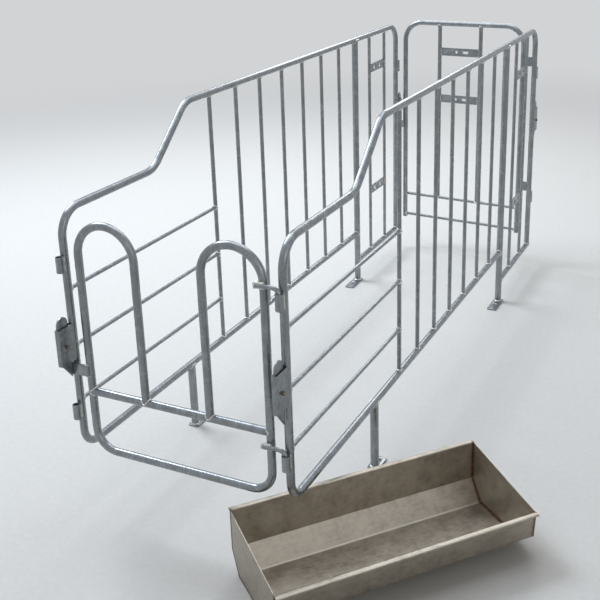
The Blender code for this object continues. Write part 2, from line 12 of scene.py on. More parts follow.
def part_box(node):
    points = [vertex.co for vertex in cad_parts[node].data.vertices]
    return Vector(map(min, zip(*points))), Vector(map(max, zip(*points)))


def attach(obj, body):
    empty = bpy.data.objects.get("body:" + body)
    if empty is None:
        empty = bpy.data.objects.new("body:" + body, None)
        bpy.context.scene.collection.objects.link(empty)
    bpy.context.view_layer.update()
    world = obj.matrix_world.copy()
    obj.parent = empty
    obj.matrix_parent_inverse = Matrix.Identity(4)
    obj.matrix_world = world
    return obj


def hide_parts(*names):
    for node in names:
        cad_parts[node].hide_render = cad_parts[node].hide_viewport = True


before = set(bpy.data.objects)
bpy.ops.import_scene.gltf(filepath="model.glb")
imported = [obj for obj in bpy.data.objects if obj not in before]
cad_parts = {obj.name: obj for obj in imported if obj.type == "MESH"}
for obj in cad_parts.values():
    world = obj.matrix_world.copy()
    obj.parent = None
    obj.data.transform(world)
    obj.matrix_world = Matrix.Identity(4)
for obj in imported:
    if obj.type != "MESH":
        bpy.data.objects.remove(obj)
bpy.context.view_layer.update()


# Panel frames: each side is one half-inch steel pipe, cold bent into the front post, the stepped
# top rail, the rear post and the long bottom rail, then dipped whole in molten zinc.
# Everything of the crate is drawn round the middle between the two panels.

left_low, left_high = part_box("left_panel_frame")
right_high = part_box("right_panel_frame")[1]
MIDDLE = Vector(((left_low.x + right_high.x) / 2, (left_low.y + left_high.y) / 2, 0))
PANEL_X = 0.31065
TUBE_R = 0.01065
FRONT_Y = -1.155
REAR_Y = 1.155
TOP_Z = 1.042
HEAD_Z = 0.882
SLOPE_Y = (-0.745, -0.560)
BASE_Z = 0.216
TAIL_Z = 0.093
LEG_Y = 0.700


def linear(code):
    """An sRGB hex colour as linear red, green, blue and alpha."""
    parts = [int(code[i:i + 2], 16) / 255 for i in (1, 3, 5)]
    return (*(c / 12.92 if c <= 0.04045 else ((c + 0.055) / 1.055) ** 2.4 for c in parts), 1.0)


def add(tree, kind, settings=None, stops=(), **inputs):
    """Add a node. Settings are its own options, stops are a ramp's places and colours, and an
    input is a value or another node's output."""
    made = tree.nodes.new(kind)
    for key, value in (settings or {}).items():
        setattr(made, key, value)
    while stops and len(made.color_ramp.elements) < len(stops):
        made.color_ramp.elements.new(0.5)
    for k, (place, colour) in enumerate(stops):
        element = made.color_ramp.elements[k]
        element.position = place
        element.color = linear(colour) if isinstance(colour, str) else (colour,) * 3 + (1,)
    for key, value in inputs.items():
        name = key.replace("_", " ").title()
        socket = made.inputs[int(key[1:])] if key[1:].isdigit() else made.inputs[name]
        if isinstance(value, bpy.types.NodeSocket):
            tree.links.new(value, socket)
        else:
            socket.default_value = value
    return made


def finish(name):
    """A new material with its tree, its shader and the piece's own coordinates."""
    made = bpy.data.materials.new(name)
    made.use_nodes = True
    tree = made.node_tree
    shader = tree.nodes["Principled BSDF"]
    spot = add(tree, "ShaderNodeTexCoord").outputs["Object"]
    return made, tree, shader, spot


def surface(tree, shader, colour, roughness, relief, metallic):
    """Join a finish's colour, roughness and relief to its shader."""
    tree.links.new(colour, shader.inputs["Base Color"])
    tree.links.new(roughness.outputs[0], shader.inputs["Roughness"])
    tree.links.new(relief.outputs[0], shader.inputs["Normal"])
    shader.inputs["Metallic"].default_value = metallic


# Hot-dip galvanised steel: zinc frozen on the tube, silvery with a cool cast. It is mottled in
# patches of a few centimetres, with faint grey runs down the tube, fine grit and soft gloss. A
# film of oxide dulls it, so it is only part metal to the eye.
galvanised, tree, shader, spot = finish("hot_dip_galvanised_steel")
patches = add(tree, "ShaderNodeTexNoise", vector=spot, scale=34.0, detail=4.0, roughness=0.6)
grain = add(tree, "ShaderNodeTexNoise", vector=spot, scale=420.0, detail=3.0, roughness=0.7)
runs = add(tree, "ShaderNodeMapping", vector=spot, scale=(1.0, 1.0, 0.12))
streaks = add(tree, "ShaderNodeTexNoise", vector=runs.outputs[0], scale=110.0, detail=2.0)
cloudy = add(tree, "ShaderNodeMix", {"data_type": "FLOAT"}, i0=0.45,
             i2=patches.outputs[0], i3=streaks.outputs[0])
tones = add(tree, "ShaderNodeValToRGB", fac=cloudy.outputs[0],
            stops=((0.30, "#838789"), (0.48, "#909496"), (0.62, "#9EA2A4"), (0.75, "#B2B5B6")))
gloss = add(tree, "ShaderNodeMix", {"data_type": "FLOAT"}, i0=0.25,
            i2=patches.outputs[0], i3=grain.outputs[0])
gloss_level = add(tree, "ShaderNodeMapRange", value=gloss.outputs[0], from_min=0.3,
                  from_max=0.7, to_min=0.18, to_max=0.32)
bump_fine = add(tree, "ShaderNodeBump", height=grain.outputs[0], strength=0.07, distance=0.0004)
bump = add(tree, "ShaderNodeBump", height=patches.outputs[0], strength=0.12, distance=0.0015,
           normal=bump_fine.outputs[0])
surface(tree, shader, tones.outputs[0], gloss_level, bump, metallic=0.75)


def bent_path(corners, bends=(), step=math.radians(5)):
    """Centre line of a bent tube: its corners rounded by the bend radii."""
    corners = [Vector(c) for c in corners]
    path = [corners[0]]
    shortest = 0.0005
    for i, bend in enumerate(bends, start=1):
        before = (corners[i] - corners[i - 1]).normalized()
        after = (corners[i + 1] - corners[i]).normalized()
        angle = before.angle(after)
        start = corners[i] - before * bend * math.tan(angle / 2)
        inward = (after - before * before.dot(after)).normalized()
        steps = math.ceil(angle / step)
        for k in range(steps + 1):
            a = angle * k / steps
            point = start + before * bend * math.sin(a) + inward * bend * (1 - math.cos(a))
            if (point - path[-1]).length > shortest:
                path.append(point)
    path.append(corners[-1])
    return path


def at_x(x, points):
    """Points drawn in a side panel's upright plane, as pairs of Y and Z."""
    return [Vector((x, y, z)) for y, z in points]


def line_mesh(name, paths, **values):
    """Paths as chains of edges, with one number for each path in each named attribute."""
    made = bpy.data.meshes.new(name)
    points, edges = [], []
    for path in paths:
        first = len(points)
        points += [tuple(p) for p in path]
        edges += [(first + k, first + k + 1) for k in range(len(path) - 1)]
    made.from_pydata(points, edges, [])
    for key, numbers in values.items():
        layer = made.attributes.new(key, "FLOAT", "POINT")
        spread = [n for path, n in zip(paths, numbers) for _ in path]
        layer.data.foreach_set("value", spread)
    return made


def new_tree(name, **inputs):
    """A geometry tree with its named inputs. Returns the tree, its entry and its exit."""
    made = bpy.data.node_groups.new(name, "GeometryNodeTree")
    made.interface.new_socket("Geometry", in_out="INPUT", socket_type="NodeSocketGeometry")
    kinds = {float: "NodeSocketFloat", int: "NodeSocketInt",
             bpy.types.Material: "NodeSocketMaterial"}
    for key, kind in inputs.items():
        made.interface.new_socket(key.replace("_", " "), in_out="INPUT", socket_type=kinds[kind])
    made.interface.new_socket("Geometry", in_out="OUTPUT", socket_type="NodeSocketGeometry")
    return made, made.nodes.new("NodeGroupInput").outputs, made.nodes.new("NodeGroupOutput")


def placed(name, data):
    """A new object in the scene."""
    made = bpy.data.objects.new(name, data)
    bpy.context.scene.collection.objects.link(made)
    return made


def settled(holder):
    """An object's finished shape as a plain mesh. The object and its modifiers go away."""
    graph = bpy.context.evaluated_depsgraph_get()
    made = bpy.data.meshes.new_from_object(holder.evaluated_get(graph), depsgraph=graph)
    holder.modifiers.clear()
    bpy.data.objects.remove(holder)
    return made


def grown(name, source, tree, **inputs):
    """Run a geometry tree on a mesh and keep the result as a plain mesh."""
    stand_in = placed(name + ".source", source)
    step = stand_in.modifiers.new("tree", "NODES")
    step.node_group = tree
    for item in tree.interface.items_tree:
        key = item.name.replace(" ", "_")
        if item.in_out == "INPUT" and key in inputs:
            step[item.identifier] = inputs[key]
    made = settled(stand_in)
    made.name = name
    bpy.data.meshes.remove(source)
    return made


def piece(name, mesh, body, nodes=(), move=MIDDLE, sharp=35):
    """Show a mesh as a piece of the object, moved from the crate's middle to its place."""
    mesh.transform(Matrix.Translation(move))
    mesh.shade_smooth()
    mesh.set_sharp_from_angle(angle=math.radians(sharp))
    made = placed(name, mesh)
    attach(made, body)
    if nodes:
        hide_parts(*nodes)
    return made


def strand(tree, entry):
    """Paths as curves, a round section of unit radius, and the radius that each path carries."""
    curve = add(tree, "GeometryNodeMeshToCurve", mesh=entry["Geometry"])
    ring = add(tree, "GeometryNodeCurvePrimitiveCircle", resolution=entry["Sides"], radius=1.0)
    thick = add(tree, "GeometryNodeInputNamedAttribute", {"data_type": "FLOAT"}, name="radius")
    return curve.outputs[0], ring.outputs[0], thick.outputs[0]


def dressed(tree, shape, entry, leave):
    """End a tree: its copies become plain geometry and take the finish."""
    whole = add(tree, "GeometryNodeRealizeInstances", geometry=shape.outputs[0])
    clad = add(tree, "GeometryNodeSetMaterial", geometry=whole.outputs[0],
               material=entry["Finish"])
    tree.links.new(clad.outputs[0], leave.inputs[0])


# A tube swept along its bent centre line. The radius comes from the path, so that one run
# draws the pipes and the thinner bars alike.
swept_tube, entry, leave = new_tree("swept_tube", Sides=int, Finish=bpy.types.Material)
curve, ring, thick = strand(swept_tube, entry)
sweep = add(swept_tube, "GeometryNodeCurveToMesh", curve=curve, profile_curve=ring, scale=thick,
            fill_caps=True)
dressed(swept_tube, sweep, entry, leave)


def tubes(name, runs, sides=40):
    """Round tubes and bars as one mesh. Each run is a path with its radius."""
    source = line_mesh(name, [path for path, _ in runs], radius=[radius for _, radius in runs])
    return grown(name, source, swept_tube, Sides=sides, Finish=galvanised)


# The tube's corners as Y and Z, from the rear leg round to the low end of the rear post, and its
# bend radius at each corner between the two ends.
PANEL_CORNERS = ((LEG_Y, BASE_Z), (FRONT_Y, BASE_Z), (FRONT_Y, HEAD_Z), (SLOPE_Y[0], HEAD_Z),
                 (SLOPE_Y[1], TOP_Z), (REAR_Y, TOP_Z), (REAR_Y, TAIL_Z))
PANEL_BENDS = (0.052, 0.070, 0.090, 0.090, 0.070)
SIDES = (("left", -PANEL_X), ("right", PANEL_X))

for side, x in SIDES:
    path = bent_path(at_x(x, PANEL_CORNERS), PANEL_BENDS)
    mesh = tubes(side + "_frame_tube", [(path, TUBE_R)])
    piece(side + "_frame_tube", mesh, "crate", [side + "_panel_frame"])


# Upright bars, head rails and the tail rail: thin round bars and one more length of pipe, each
# cut to length, fitted round the frame tube at its ends and welded there.

BAR_R = 0.0065
RAIL_R = 0.0055
FIRST_BAR_Y, BAR_STEP = -0.427, 0.161
FIRST_RAIL_RISE, RAIL_STEP = 0.144, 0.157
BARS = [(FIRST_BAR_Y + BAR_STEP * k, BASE_Z) for k in range(7)]
BARS += [(0.850, TAIL_Z), (1.016, TAIL_Z)]
RAILS = [BASE_Z + FIRST_RAIL_RISE + RAIL_STEP * k for k in range(3)]

for side, x in SIDES:
    runs = [(at_x(x, ((y, low), (y, TOP_Z))), BAR_R) for y, low in BARS]
    piece(side + "_upright_bars", tubes("bars", runs, sides=28), "crate",
          [f"{side}_bar_{k}" for k in range(1, 8)] + [f"{side}_tail_bar_{k}" for k in (1, 2)])
    runs = [(at_x(x, ((FRONT_Y, z), (BARS[0][0], z))), RAIL_R) for z in RAILS]
    piece(side + "_head_rails", tubes("rails", runs, sides=28), "crate",
          [f"{side}_head_rail_{k}" for k in (1, 2, 3)])
    run = (at_x(x, ((LEG_Y, TAIL_Z), (REAR_Y + TUBE_R, TAIL_Z))), TUBE_R)
    piece(side + "_low_tail_rail", tubes("tail_rail", [run]), "crate",
          [side + "_tail_rail"])


# Legs: pipe standing on a flat foot plate, which is punched from strip and drilled for the bolt
# that holds the crate to the floor. The rear leg runs on up to the top rail.

FRONT_LEG_Y = -0.627
LEG_R = 0.0125
FOOT_T = 0.006
FOOT_HALF = 0.018
FOOT_HOLE_R = 0.0065


def flat_plate(name, outline, holes, thickness):
    """A flat plate round z = 0 with softened edges, drawn in X and Y, with its holes."""
    edge = 0.0006
    drawn = bpy.data.curves.new(name, "CURVE")
    drawn.dimensions = "2D"
    drawn.fill_mode = "BOTH"
    drawn.extrude = thickness / 2 - edge
    drawn.bevel_depth = edge
    drawn.bevel_resolution = 1
    drawn.offset = -edge
    for loop in [outline, *holes]:
        spline = drawn.splines.new("POLY")
        spline.points.add(len(loop) - 1)
        for point, (px, py) in zip(spline.points, loop):
            point.co = (px, py, 0, 1)
        spline.use_cyclic_u = True
    made = settled(placed(name, drawn))
    bpy.data.curves.remove(drawn)
    bm = bmesh.new()
    bm.from_mesh(made)
    bmesh.ops.remove_doubles(bm, verts=bm.verts, dist=0.00002)
    bmesh.ops.recalc_face_normals(bm, faces=bm.faces)
    bm.to_mesh(made)
    bm.free()
    made.materials.clear()
    return made


def circle(px, py, radius, count=28):
    """A round outline."""
    return [(px + radius * math.cos(2 * math.pi * k / count),
             py + radius * math.sin(2 * math.pi * k / count)) for k in range(count)]


def rounded(x0, x1, y0, y1, radius, count=6):
    """A rectangle's outline with rounded corners."""
    loop = []
    for cx, cy, start in ((x1 - radius, y1 - radius, 0), (x0 + radius, y1 - radius, 90),
                          (x0 + radius, y0 + radius, 180), (x1 - radius, y0 + radius, 270)):
        for k in range(count + 1):
            a = math.radians(start + 90 * k / count)
            loop.append((cx + radius * math.cos(a), cy + radius * math.sin(a)))
    return loop


def drawn_mesh(name, bm):
    """Keep what has been drawn as a mesh."""
    made = bpy.data.meshes.new(name)
    bm.to_mesh(made)
    bm.free()
    return made


def together(name, meshes, material):
    """Meshes as one, with one finish."""
    bm = bmesh.new()
    for mesh in meshes:
        bm.from_mesh(mesh)
        bpy.data.meshes.remove(mesh)
    made = drawn_mesh(name, bm)
    made.materials.clear()
    made.materials.append(material)
    made.polygons.foreach_set("material_index", [0] * len(made.polygons))
    return made


def moved(mesh, at=(0, 0, 0), axes=None):
    """Put a mesh's own X, Y and Z along the given directions, then at a spot."""
    if axes:
        turn = Matrix(axes).transposed().to_4x4()
        mesh.transform(turn)
        if turn.determinant() < 0:
            mesh.flip_normals()
    mesh.transform(Matrix.Translation(at))
    return mesh


# Where each leg stands, its top, how far its foot plate reaches, and where the bolt's hole is.
LEGS = {"front": (FRONT_LEG_Y, BASE_Z, (-0.016, 0.052), 0.033),
        "rear": (LEG_Y, TOP_Z, (-0.097, 0.016), -0.052)}

for side, x in SIDES:
    for end, (y, top, reach, hole) in LEGS.items():
        post = tubes("post", [(at_x(x, ((y, FOOT_T / 2), (y, top))), LEG_R)], sides=32)
        outline = rounded(-FOOT_HALF, FOOT_HALF, y + reach[0], y + reach[1], radius=0.004)
        plate = flat_plate("foot", outline, [circle(0, y + hole, FOOT_HOLE_R)], FOOT_T)
        mesh = together("leg", [post, moved(plate, (x, 0, FOOT_T / 2))], galvanised)
        piece(f"{side}_{end}_leg_and_foot", mesh, "crate",
              [f"{side}_{end}_leg"])


# Stop plates: short flat bars between the two tail bars, punched twice, for a cross bar that
# stops the sow from backing.

STOP_Z = (0.3675, 0.900)
STOP_HALF = 0.018
STOP_HOLE_R, STOP_HOLE_OFF = 0.009, 0.030
STRIP_T = 0.005
TAIL_BARS = (BARS[7][0], BARS[8][0])
STOP_GAP = 0.005
FACING_SIDE = ((0, 1, 0), (0, 0, 1), (1, 0, 0))

for side, x in SIDES:
    for level, z in zip(("lower", "upper"), STOP_Z):
        middle = sum(TAIL_BARS) / 2
        outline = rounded(TAIL_BARS[0] + STOP_GAP, TAIL_BARS[1] - STOP_GAP, z - STOP_HALF,
                          z + STOP_HALF, radius=0.002)
        holes = [circle(middle + s * STOP_HOLE_OFF, z, STOP_HOLE_R) for s in (-1, 1)]
        plate = flat_plate("stop", outline, holes, STRIP_T)
        mesh = together("stop", [moved(plate, (x, 0, 0), FACING_SIDE)], galvanised)
        piece(f"{side}_{level}_punched_stop", mesh, "crate",
              [f"{side}_{level}_stop_plate"])


# Hinge eyes: short ends of thick pipe welded on the outside of each post. The gates' pins drop
# into them. They are the same on all four posts, so that either gate may be hung on either side.

EYE_OUT = 0.0203
EYE_BORE_R = 0.008
# Half of an eye's section, from the outer wall round its rim to the bore, as radius and how far
# in from the end. Then each eye's Y, its middle's Z and its height.
EYE_RIM = [(TUBE_R, 0.0007), (0.0100, 0), (0.0085, 0), (EYE_BORE_R, 0.0005)]
EYES = [(FRONT_Y - EYE_OUT, 0.333, 0.042), (FRONT_Y - EYE_OUT, 0.748, 0.042),
        (REAR_Y + EYE_OUT, 0.312, 0.050), (REAR_Y + EYE_OUT, 0.859, 0.050)]


def turned(name, profile, sides=40):
    """A closed outline of radius and height pairs spun round the Z axis."""
    bm = bmesh.new()
    rings = []
    for radius, z in profile:
        rings.append([bm.verts.new((radius * math.cos(2 * math.pi * k / sides),
                                    radius * math.sin(2 * math.pi * k / sides), z))
                      for k in range(sides)])
    for a, b in zip(rings, rings[1:] + rings[:1]):
        for k in range(sides):
            bm.faces.new((a[k], a[(k + 1) % sides], b[(k + 1) % sides], b[k]))
    bmesh.ops.recalc_face_normals(bm, faces=bm.faces)
    return drawn_mesh(name, bm)


for side, x in SIDES:
    made = []
    for y, z, height in EYES:
        outline = [(radius, inset - height / 2) for radius, inset in EYE_RIM]
        outline += [(radius, -inset) for radius, inset in reversed(outline)]
        made.append(moved(turned("eye", outline), (x, y, z)))
    piece(side + "_hinge_eyes", together("eyes", made, galvanised), "crate")


# Drop latches: a zinc-plated sheet is folded round the post into a housing, and a steel plate
# slides up and down in its nose on a bolt. Lifting the tab frees the gate's striker.

LATCH_OUT = 0.0375
# Each latch's Y and Z at its bolt, and which way its nose looks.
LATCHES = {"front": (FRONT_Y - LATCH_OUT, 0.530, 1), "rear": (REAR_Y + LATCH_OUT, 0.652, -1)}
HOUSING_HALF = 0.0073
HOUSING_LOW = -0.048
SHEET_T = 0.002
SLOT_R = 0.0033
LATCH_LIFT = 0.042

# Zinc-plated sheet: rolled steel with a thin even coat. Smoother and greyer than the dipped
# tube, with light rolling lines up the sheet and dull handling marks.
zinc_sheet, tree, shader, spot = finish("zinc_plated_sheet")
rolling = add(tree, "ShaderNodeMapping", vector=spot, scale=(1.0, 1.0, 0.06))
lines = add(tree, "ShaderNodeTexNoise", vector=rolling.outputs[0], scale=260.0, detail=2.0)
marks = add(tree, "ShaderNodeTexNoise", vector=spot, scale=80.0, detail=5.0, roughness=0.65)
worn = add(tree, "ShaderNodeMix", {"data_type": "FLOAT"}, i0=0.25, i2=marks.outputs[0],
           i3=lines.outputs[0])
tones = add(tree, "ShaderNodeValToRGB", fac=worn.outputs[0],
            stops=((0.32, "#7A7E80"), (0.50, "#8E9294"), (0.66, "#A3A7A8")))
dull = add(tree, "ShaderNodeMapRange", value=marks.outputs[0], from_min=0.3, from_max=0.7,
           to_min=0.30, to_max=0.52)
scratch = add(tree, "ShaderNodeBump", height=lines.outputs[0], strength=0.08, distance=0.0004)
surface(tree, shader, tones.outputs[0], dull, scratch, metallic=0.9)


def folded_housing():
    """The folded sheet: two walls that meet the post, and a rounded nose."""
    half, nose, front, back = HOUSING_HALF, 0.0035, -0.0258, 0.0281
    low_z, high_z, levels = HOUSING_LOW, 0.053, 4

    def line(inset):
        r = nose - inset
        side = [(half - inset, back)]
        side += [(half - inset, back - (back - front - nose) * k / 12) for k in range(1, 12)]
        side += [(half - nose + r * math.cos(math.radians(a)),
                  front + nose + r * math.sin(math.radians(a))) for a in range(0, -91, -10)]
        return side + [(-px, py) for px, py in reversed(side)]

    bm = bmesh.new()
    walls = []
    for inset in (0.0, SHEET_T):
        outline = line(inset)
        heights = [low_z + (high_z - low_z) * k / levels for k in range(levels + 1)]
        walls.append([[bm.verts.new((px, py, z)) for px, py in outline] for z in heights])
    outer, inner = walls
    count = len(outer[0])
    for wall in walls:
        for low, high in zip(wall, wall[1:]):
            for k in range(count - 1):
                bm.faces.new((low[k], low[k + 1], high[k + 1], high[k]))
    for a, b in ((outer[0], inner[0]), (outer[-1], inner[-1])):
        for k in range(count - 1):
            bm.faces.new((a[k], a[k + 1], b[k + 1], b[k]))
    for k in (0, count - 1):
        for t in range(levels):
            bm.faces.new((outer[t][k], outer[t + 1][k], inner[t + 1][k], inner[t][k]))
    bmesh.ops.recalc_face_normals(bm, faces=bm.faces)
    made = drawn_mesh("housing", bm)
    made.materials.append(zinc_sheet)
    return made


def sliding_plate():
    """The flat plate: a round tab above, a tapered tip below, and the slot that the bolt is in."""
    front, back, tip, tab = -0.0225, 0.0174, -0.092, 0.082
    half, middle = (back - front) / 2, (back + front) / 2
    outline = [(back - 0.002, tip), (back, tip + 0.003)]
    outline += [(middle + half * math.cos(math.radians(a)),
                 tab - half + half * math.sin(math.radians(a))) for a in range(0, 181, 10)]
    outline += [(front, HOUSING_LOW + 0.010), (front + 0.003, HOUSING_LOW)]
    slot = [(SLOT_R * math.cos(math.radians(a)), SLOT_R * math.sin(math.radians(a)))
            for a in range(0, 181, 20)]
    slot += [(px, -LATCH_LIFT - pz) for px, pz in reversed(slot)]
    plate = flat_plate("latch_plate", outline, [slot], STRIP_T)
    return together("latch_plate", [moved(plate, axes=FACING_SIDE)], zinc_sheet)


for side, x in SIDES:
    for end, (y, z, way) in LATCHES.items():
        turn = ((way, 0, 0), (0, way, 0), (0, 0, 1))
        piece(f"{side}_{end}_latch_case", moved(folded_housing(), (x, y, z), turn), "crate",
              [f"{side}_{end}_latch_housing"])
        piece(f"{side}_{end}_latch_slider", moved(sliding_plate(), (x, y, z), turn),
              f"{side}_{end}_latch", [f"{side}_{end}_latch_plate"])


# Latch bolts: a hexagon bolt of plain steel through both walls of each housing, with its nut on
# the other side. The sliding plate hangs on it by its slot.

HEAD_R, HEAD_H = 0.0058, 0.004
CROWN_H = 0.0008
SHANK_R, SHANK_LENGTH = 0.003, 0.009
BOLT_SEAT = 0.0020

# Plain bolt steel: dull, browned in patches by light rust, and rubbed bright and smoother in
# others.
bolt_steel, tree, shader, spot = finish("bare_bolt_steel")
rust = add(tree, "ShaderNodeTexNoise", vector=spot, scale=350.0, detail=5.0, roughness=0.7)
tones = add(tree, "ShaderNodeValToRGB", fac=rust.outputs[0],
            stops=((0.35, "#5E534A"), (0.52, "#8B8072"), (0.70, "#B3ABA0")))
rough = add(tree, "ShaderNodeMapRange", value=rust.outputs[0], to_min=0.62, to_max=0.38)
pits = add(tree, "ShaderNodeBump", height=rust.outputs[0], strength=0.3, distance=0.0004)
surface(tree, shader, tones.outputs[0], rough, pits, metallic=0.75)

# A bolt end on each small face of the source mesh: a hexagon with a turned crown, and its shank.
bolt_ends, entry, leave = new_tree("bolt_ends", Head_radius=float, Head_height=float,
                                   Shank_radius=float, Shank_length=float,
                                   Finish=bpy.types.Material)
hexagon = add(bolt_ends, "GeometryNodeMeshCone", vertices=6, radius_top=entry["Head radius"],
              radius_bottom=entry["Head radius"], depth=entry["Head height"])
small, wide = [add(bolt_ends, "ShaderNodeMath", {"operation": "MULTIPLY"},
                   i0=entry["Head radius"], i1=share) for share in (0.66, 0.84)]
crown = add(bolt_ends, "GeometryNodeMeshCone", vertices=24, depth=CROWN_H,
            radius_top=small.outputs[0], radius_bottom=wide.outputs[0])
lift = add(bolt_ends, "ShaderNodeCombineXYZ", z=entry["Head height"])
raised = add(bolt_ends, "GeometryNodeTransform", geometry=crown.outputs[0],
             translation=lift.outputs[0])
shank = add(bolt_ends, "GeometryNodeMeshCylinder", vertices=16, radius=entry["Shank radius"],
            depth=entry["Shank length"])
half = add(bolt_ends, "ShaderNodeMath", {"operation": "MULTIPLY"}, i0=entry["Shank length"],
           i1=-0.5)
down = add(bolt_ends, "ShaderNodeCombineXYZ", z=half.outputs[0])
sunk = add(bolt_ends, "GeometryNodeTransform", geometry=shank.outputs[0],
           translation=down.outputs[0])
joined = add(bolt_ends, "GeometryNodeJoinGeometry")
for part in (sunk, raised, hexagon):
    bolt_ends.links.new(part.outputs[0], joined.inputs[0])
facing = add(bolt_ends, "GeometryNodeInputNormal")
kept_facing = add(bolt_ends, "GeometryNodeCaptureAttribute", {"domain": "FACE"},
                  geometry=entry["Geometry"])
kept_facing.capture_items.new("VECTOR", "Facing")
bolt_ends.links.new(facing.outputs[0], kept_facing.inputs[1])
face_points = add(bolt_ends, "GeometryNodeMeshToPoints", {"mode": "FACES"},
                  mesh=kept_facing.outputs[0])
turn = add(bolt_ends, "FunctionNodeAlignRotationToVector", {"axis": "Z"},
           vector=kept_facing.outputs[1])
spots = add(bolt_ends, "GeometryNodeInstanceOnPoints", points=face_points.outputs[0],
            instance=joined.outputs[0], rotation=turn.outputs[0])
dressed(bolt_ends, spots, entry, leave)


def facing_points(name, spots):
    """Small triangles whose middle and facing are each spot's. A point is taken from each face."""
    made = bpy.data.meshes.new(name)
    points, faces = [], []
    for at, way in spots:
        at, way = Vector(at), Vector(way).normalized()
        side = way.orthogonal().normalized() * 0.0001
        other = way.cross(side)
        first = len(points)
        points += [tuple(at + side), tuple(at - side * 0.5 + other * 0.866),
                   tuple(at - side * 0.5 - other * 0.866)]
        faces.append((first, first + 1, first + 2))
    made.from_pydata(points, [], faces)
    return made


bolt_spots = [((x + way * (HOUSING_HALF + BOLT_SEAT), y, z), (way, 0, 0))
              for _, x in SIDES for y, z, _ in LATCHES.values() for way in (-1, 1)]
mesh = grown("latch_bolt_heads", facing_points("bolt_spots", bolt_spots), bolt_ends,
             Head_radius=HEAD_R, Head_height=HEAD_H, Shank_radius=SHANK_R,
             Shank_length=SHANK_LENGTH, Finish=bolt_steel)
piece("latch_bolts", mesh, "crate",
      [f"{side}_{end}_latch_bolt" for side, _ in SIDES for end in LATCHES])


# Front gate: one pipe bent into two hoops over a wide loop, with a cross bar that closes the
# hoops' inner ends. The sow eats between them.

GATE_OUT = 0.00385
GATE_PLANE = FRONT_Y - GATE_OUT
GATE_X = 0.263
HOOP_R = 0.084
LOOP_BEND = 0.060
HOOP_TOP = 0.861
CROSS_Z = 0.397
GATE_BASE_Z = 0.228
inner_x = GATE_X - 2 * HOOP_R


def at_y(y, points):
    """Points drawn across the crate, as pairs of X and Z."""
    return [Vector((px, y, pz)) for px, pz in points]


corners = at_y(GATE_PLANE, ((-inner_x, CROSS_Z), (-inner_x, HOOP_TOP), (-GATE_X, HOOP_TOP),
                            (-GATE_X, GATE_BASE_Z), (GATE_X, GATE_BASE_Z), (GATE_X, HOOP_TOP),
                            (inner_x, HOOP_TOP), (inner_x, CROSS_Z)))
loop = bent_path(corners, (HOOP_R, HOOP_R, LOOP_BEND, LOOP_BEND, HOOP_R, HOOP_R))
piece("front_gate_hoops", tubes("hoops", [(loop, TUBE_R)]), "front_gate",
      ["front_gate_frame"])
cross = at_y(GATE_PLANE, ((-GATE_X, CROSS_Z), (GATE_X, CROSS_Z)))
piece("front_gate_cross_tube", tubes("cross", [(cross, TUBE_R)]), "front_gate",
      ["front_gate_cross_bar"])


# Gate hooks: round bar bent down at its end and welded flat on the gate's tube. The bent end is
# the hinge pin, and the bend rests on the eye.

HOOK_R = 0.0055
HOOK_RISE = 0.0110
HOOK_LAP = 0.016
HOOK_BEND = 0.018
PIN_END = 0.005

for level, (y, z, height) in zip(("lower", "upper"), EYES[:2]):
    rod_z = z + height / 2 + HOOK_RISE
    corners = at_y(y, ((GATE_X - HOOK_LAP, rod_z), (PANEL_X, rod_z),
                       (PANEL_X, z - height / 2 + PIN_END)))
    hook = tubes("hook", [(bent_path(corners, (HOOK_BEND,)), HOOK_R)], sides=28)
    piece(f"front_gate_{level}_pin_hook", hook, "front_gate",
          [f"front_gate_{level}_hook"])


# Front striker: a short flat bar welded on the outside of the gate's free tube. It ends in front
# of the left post, behind the tip of the latch's sliding plate, which holds the gate shut.

STRIKER_OUT = 0.0198
STRIKER_HALF = 0.016
STRIKER_DROP = 0.070
STRIKER_PAST = 0.0055
STRIKER_LAP = 0.004
FACING_FRONT = ((1, 0, 0), (0, 0, 1), (0, -1, 0))


def striker(x0, x1, y, z):
    """A flat bar across the gate, with its middle at the given Y and Z."""
    outline = rounded(x0, x1, z - STRIKER_HALF, z + STRIKER_HALF, radius=0.003)
    plate = moved(flat_plate("striker", outline, [], STRIP_T), (0, y, 0), FACING_FRONT)
    return together("striker", [plate], galvanised)


front_striker_y = FRONT_Y - STRIKER_OUT + STRIP_T / 2
front_striker_z = LATCHES["front"][1] - STRIKER_DROP
mesh = striker(-PANEL_X - STRIKER_PAST, -GATE_X + STRIKER_LAP, front_striker_y, front_striker_z)
piece("front_gate_strap", mesh, "front_gate", ["front_gate_striker"])


# Rear gate: an arched pipe over two thin rails, and a ladder of two bars with two punched plates.
# It hangs on flat straps and stands a little ajar.

AJAR = math.radians(5.0)
REAR_X = 0.273
REAR_SHIFT = 0.011
REAR_TOP = 1.050
REAR_PLANE = GATE_OUT - EYE_OUT
ARCH_END_Z = 0.142
ARCH_BEND = 0.080
LOW_RAIL_Z, HIGH_RAIL_Z = 0.156, 0.256
REAR_MIDDLE = -PANEL_X - REAR_SHIFT
rear_hinge = Vector((PANEL_X, REAR_Y + EYE_OUT, 0))
ajar = Matrix.Translation(MIDDLE + rear_hinge) @ Matrix.Rotation(-AJAR, 4, "Z")


def on_rear_gate(name, mesh, nodes):
    """Hang a mesh that is drawn round the hinge's axis on the rear gate."""
    mesh.transform(ajar)
    return piece(name, mesh, "rear_gate", nodes, Vector())


def at_gate(points):
    """Points across the gate, as X from the gate's middle and Z, measured from its hinge."""
    return [Vector((px + REAR_MIDDLE, REAR_PLANE, pz)) for px, pz in points]


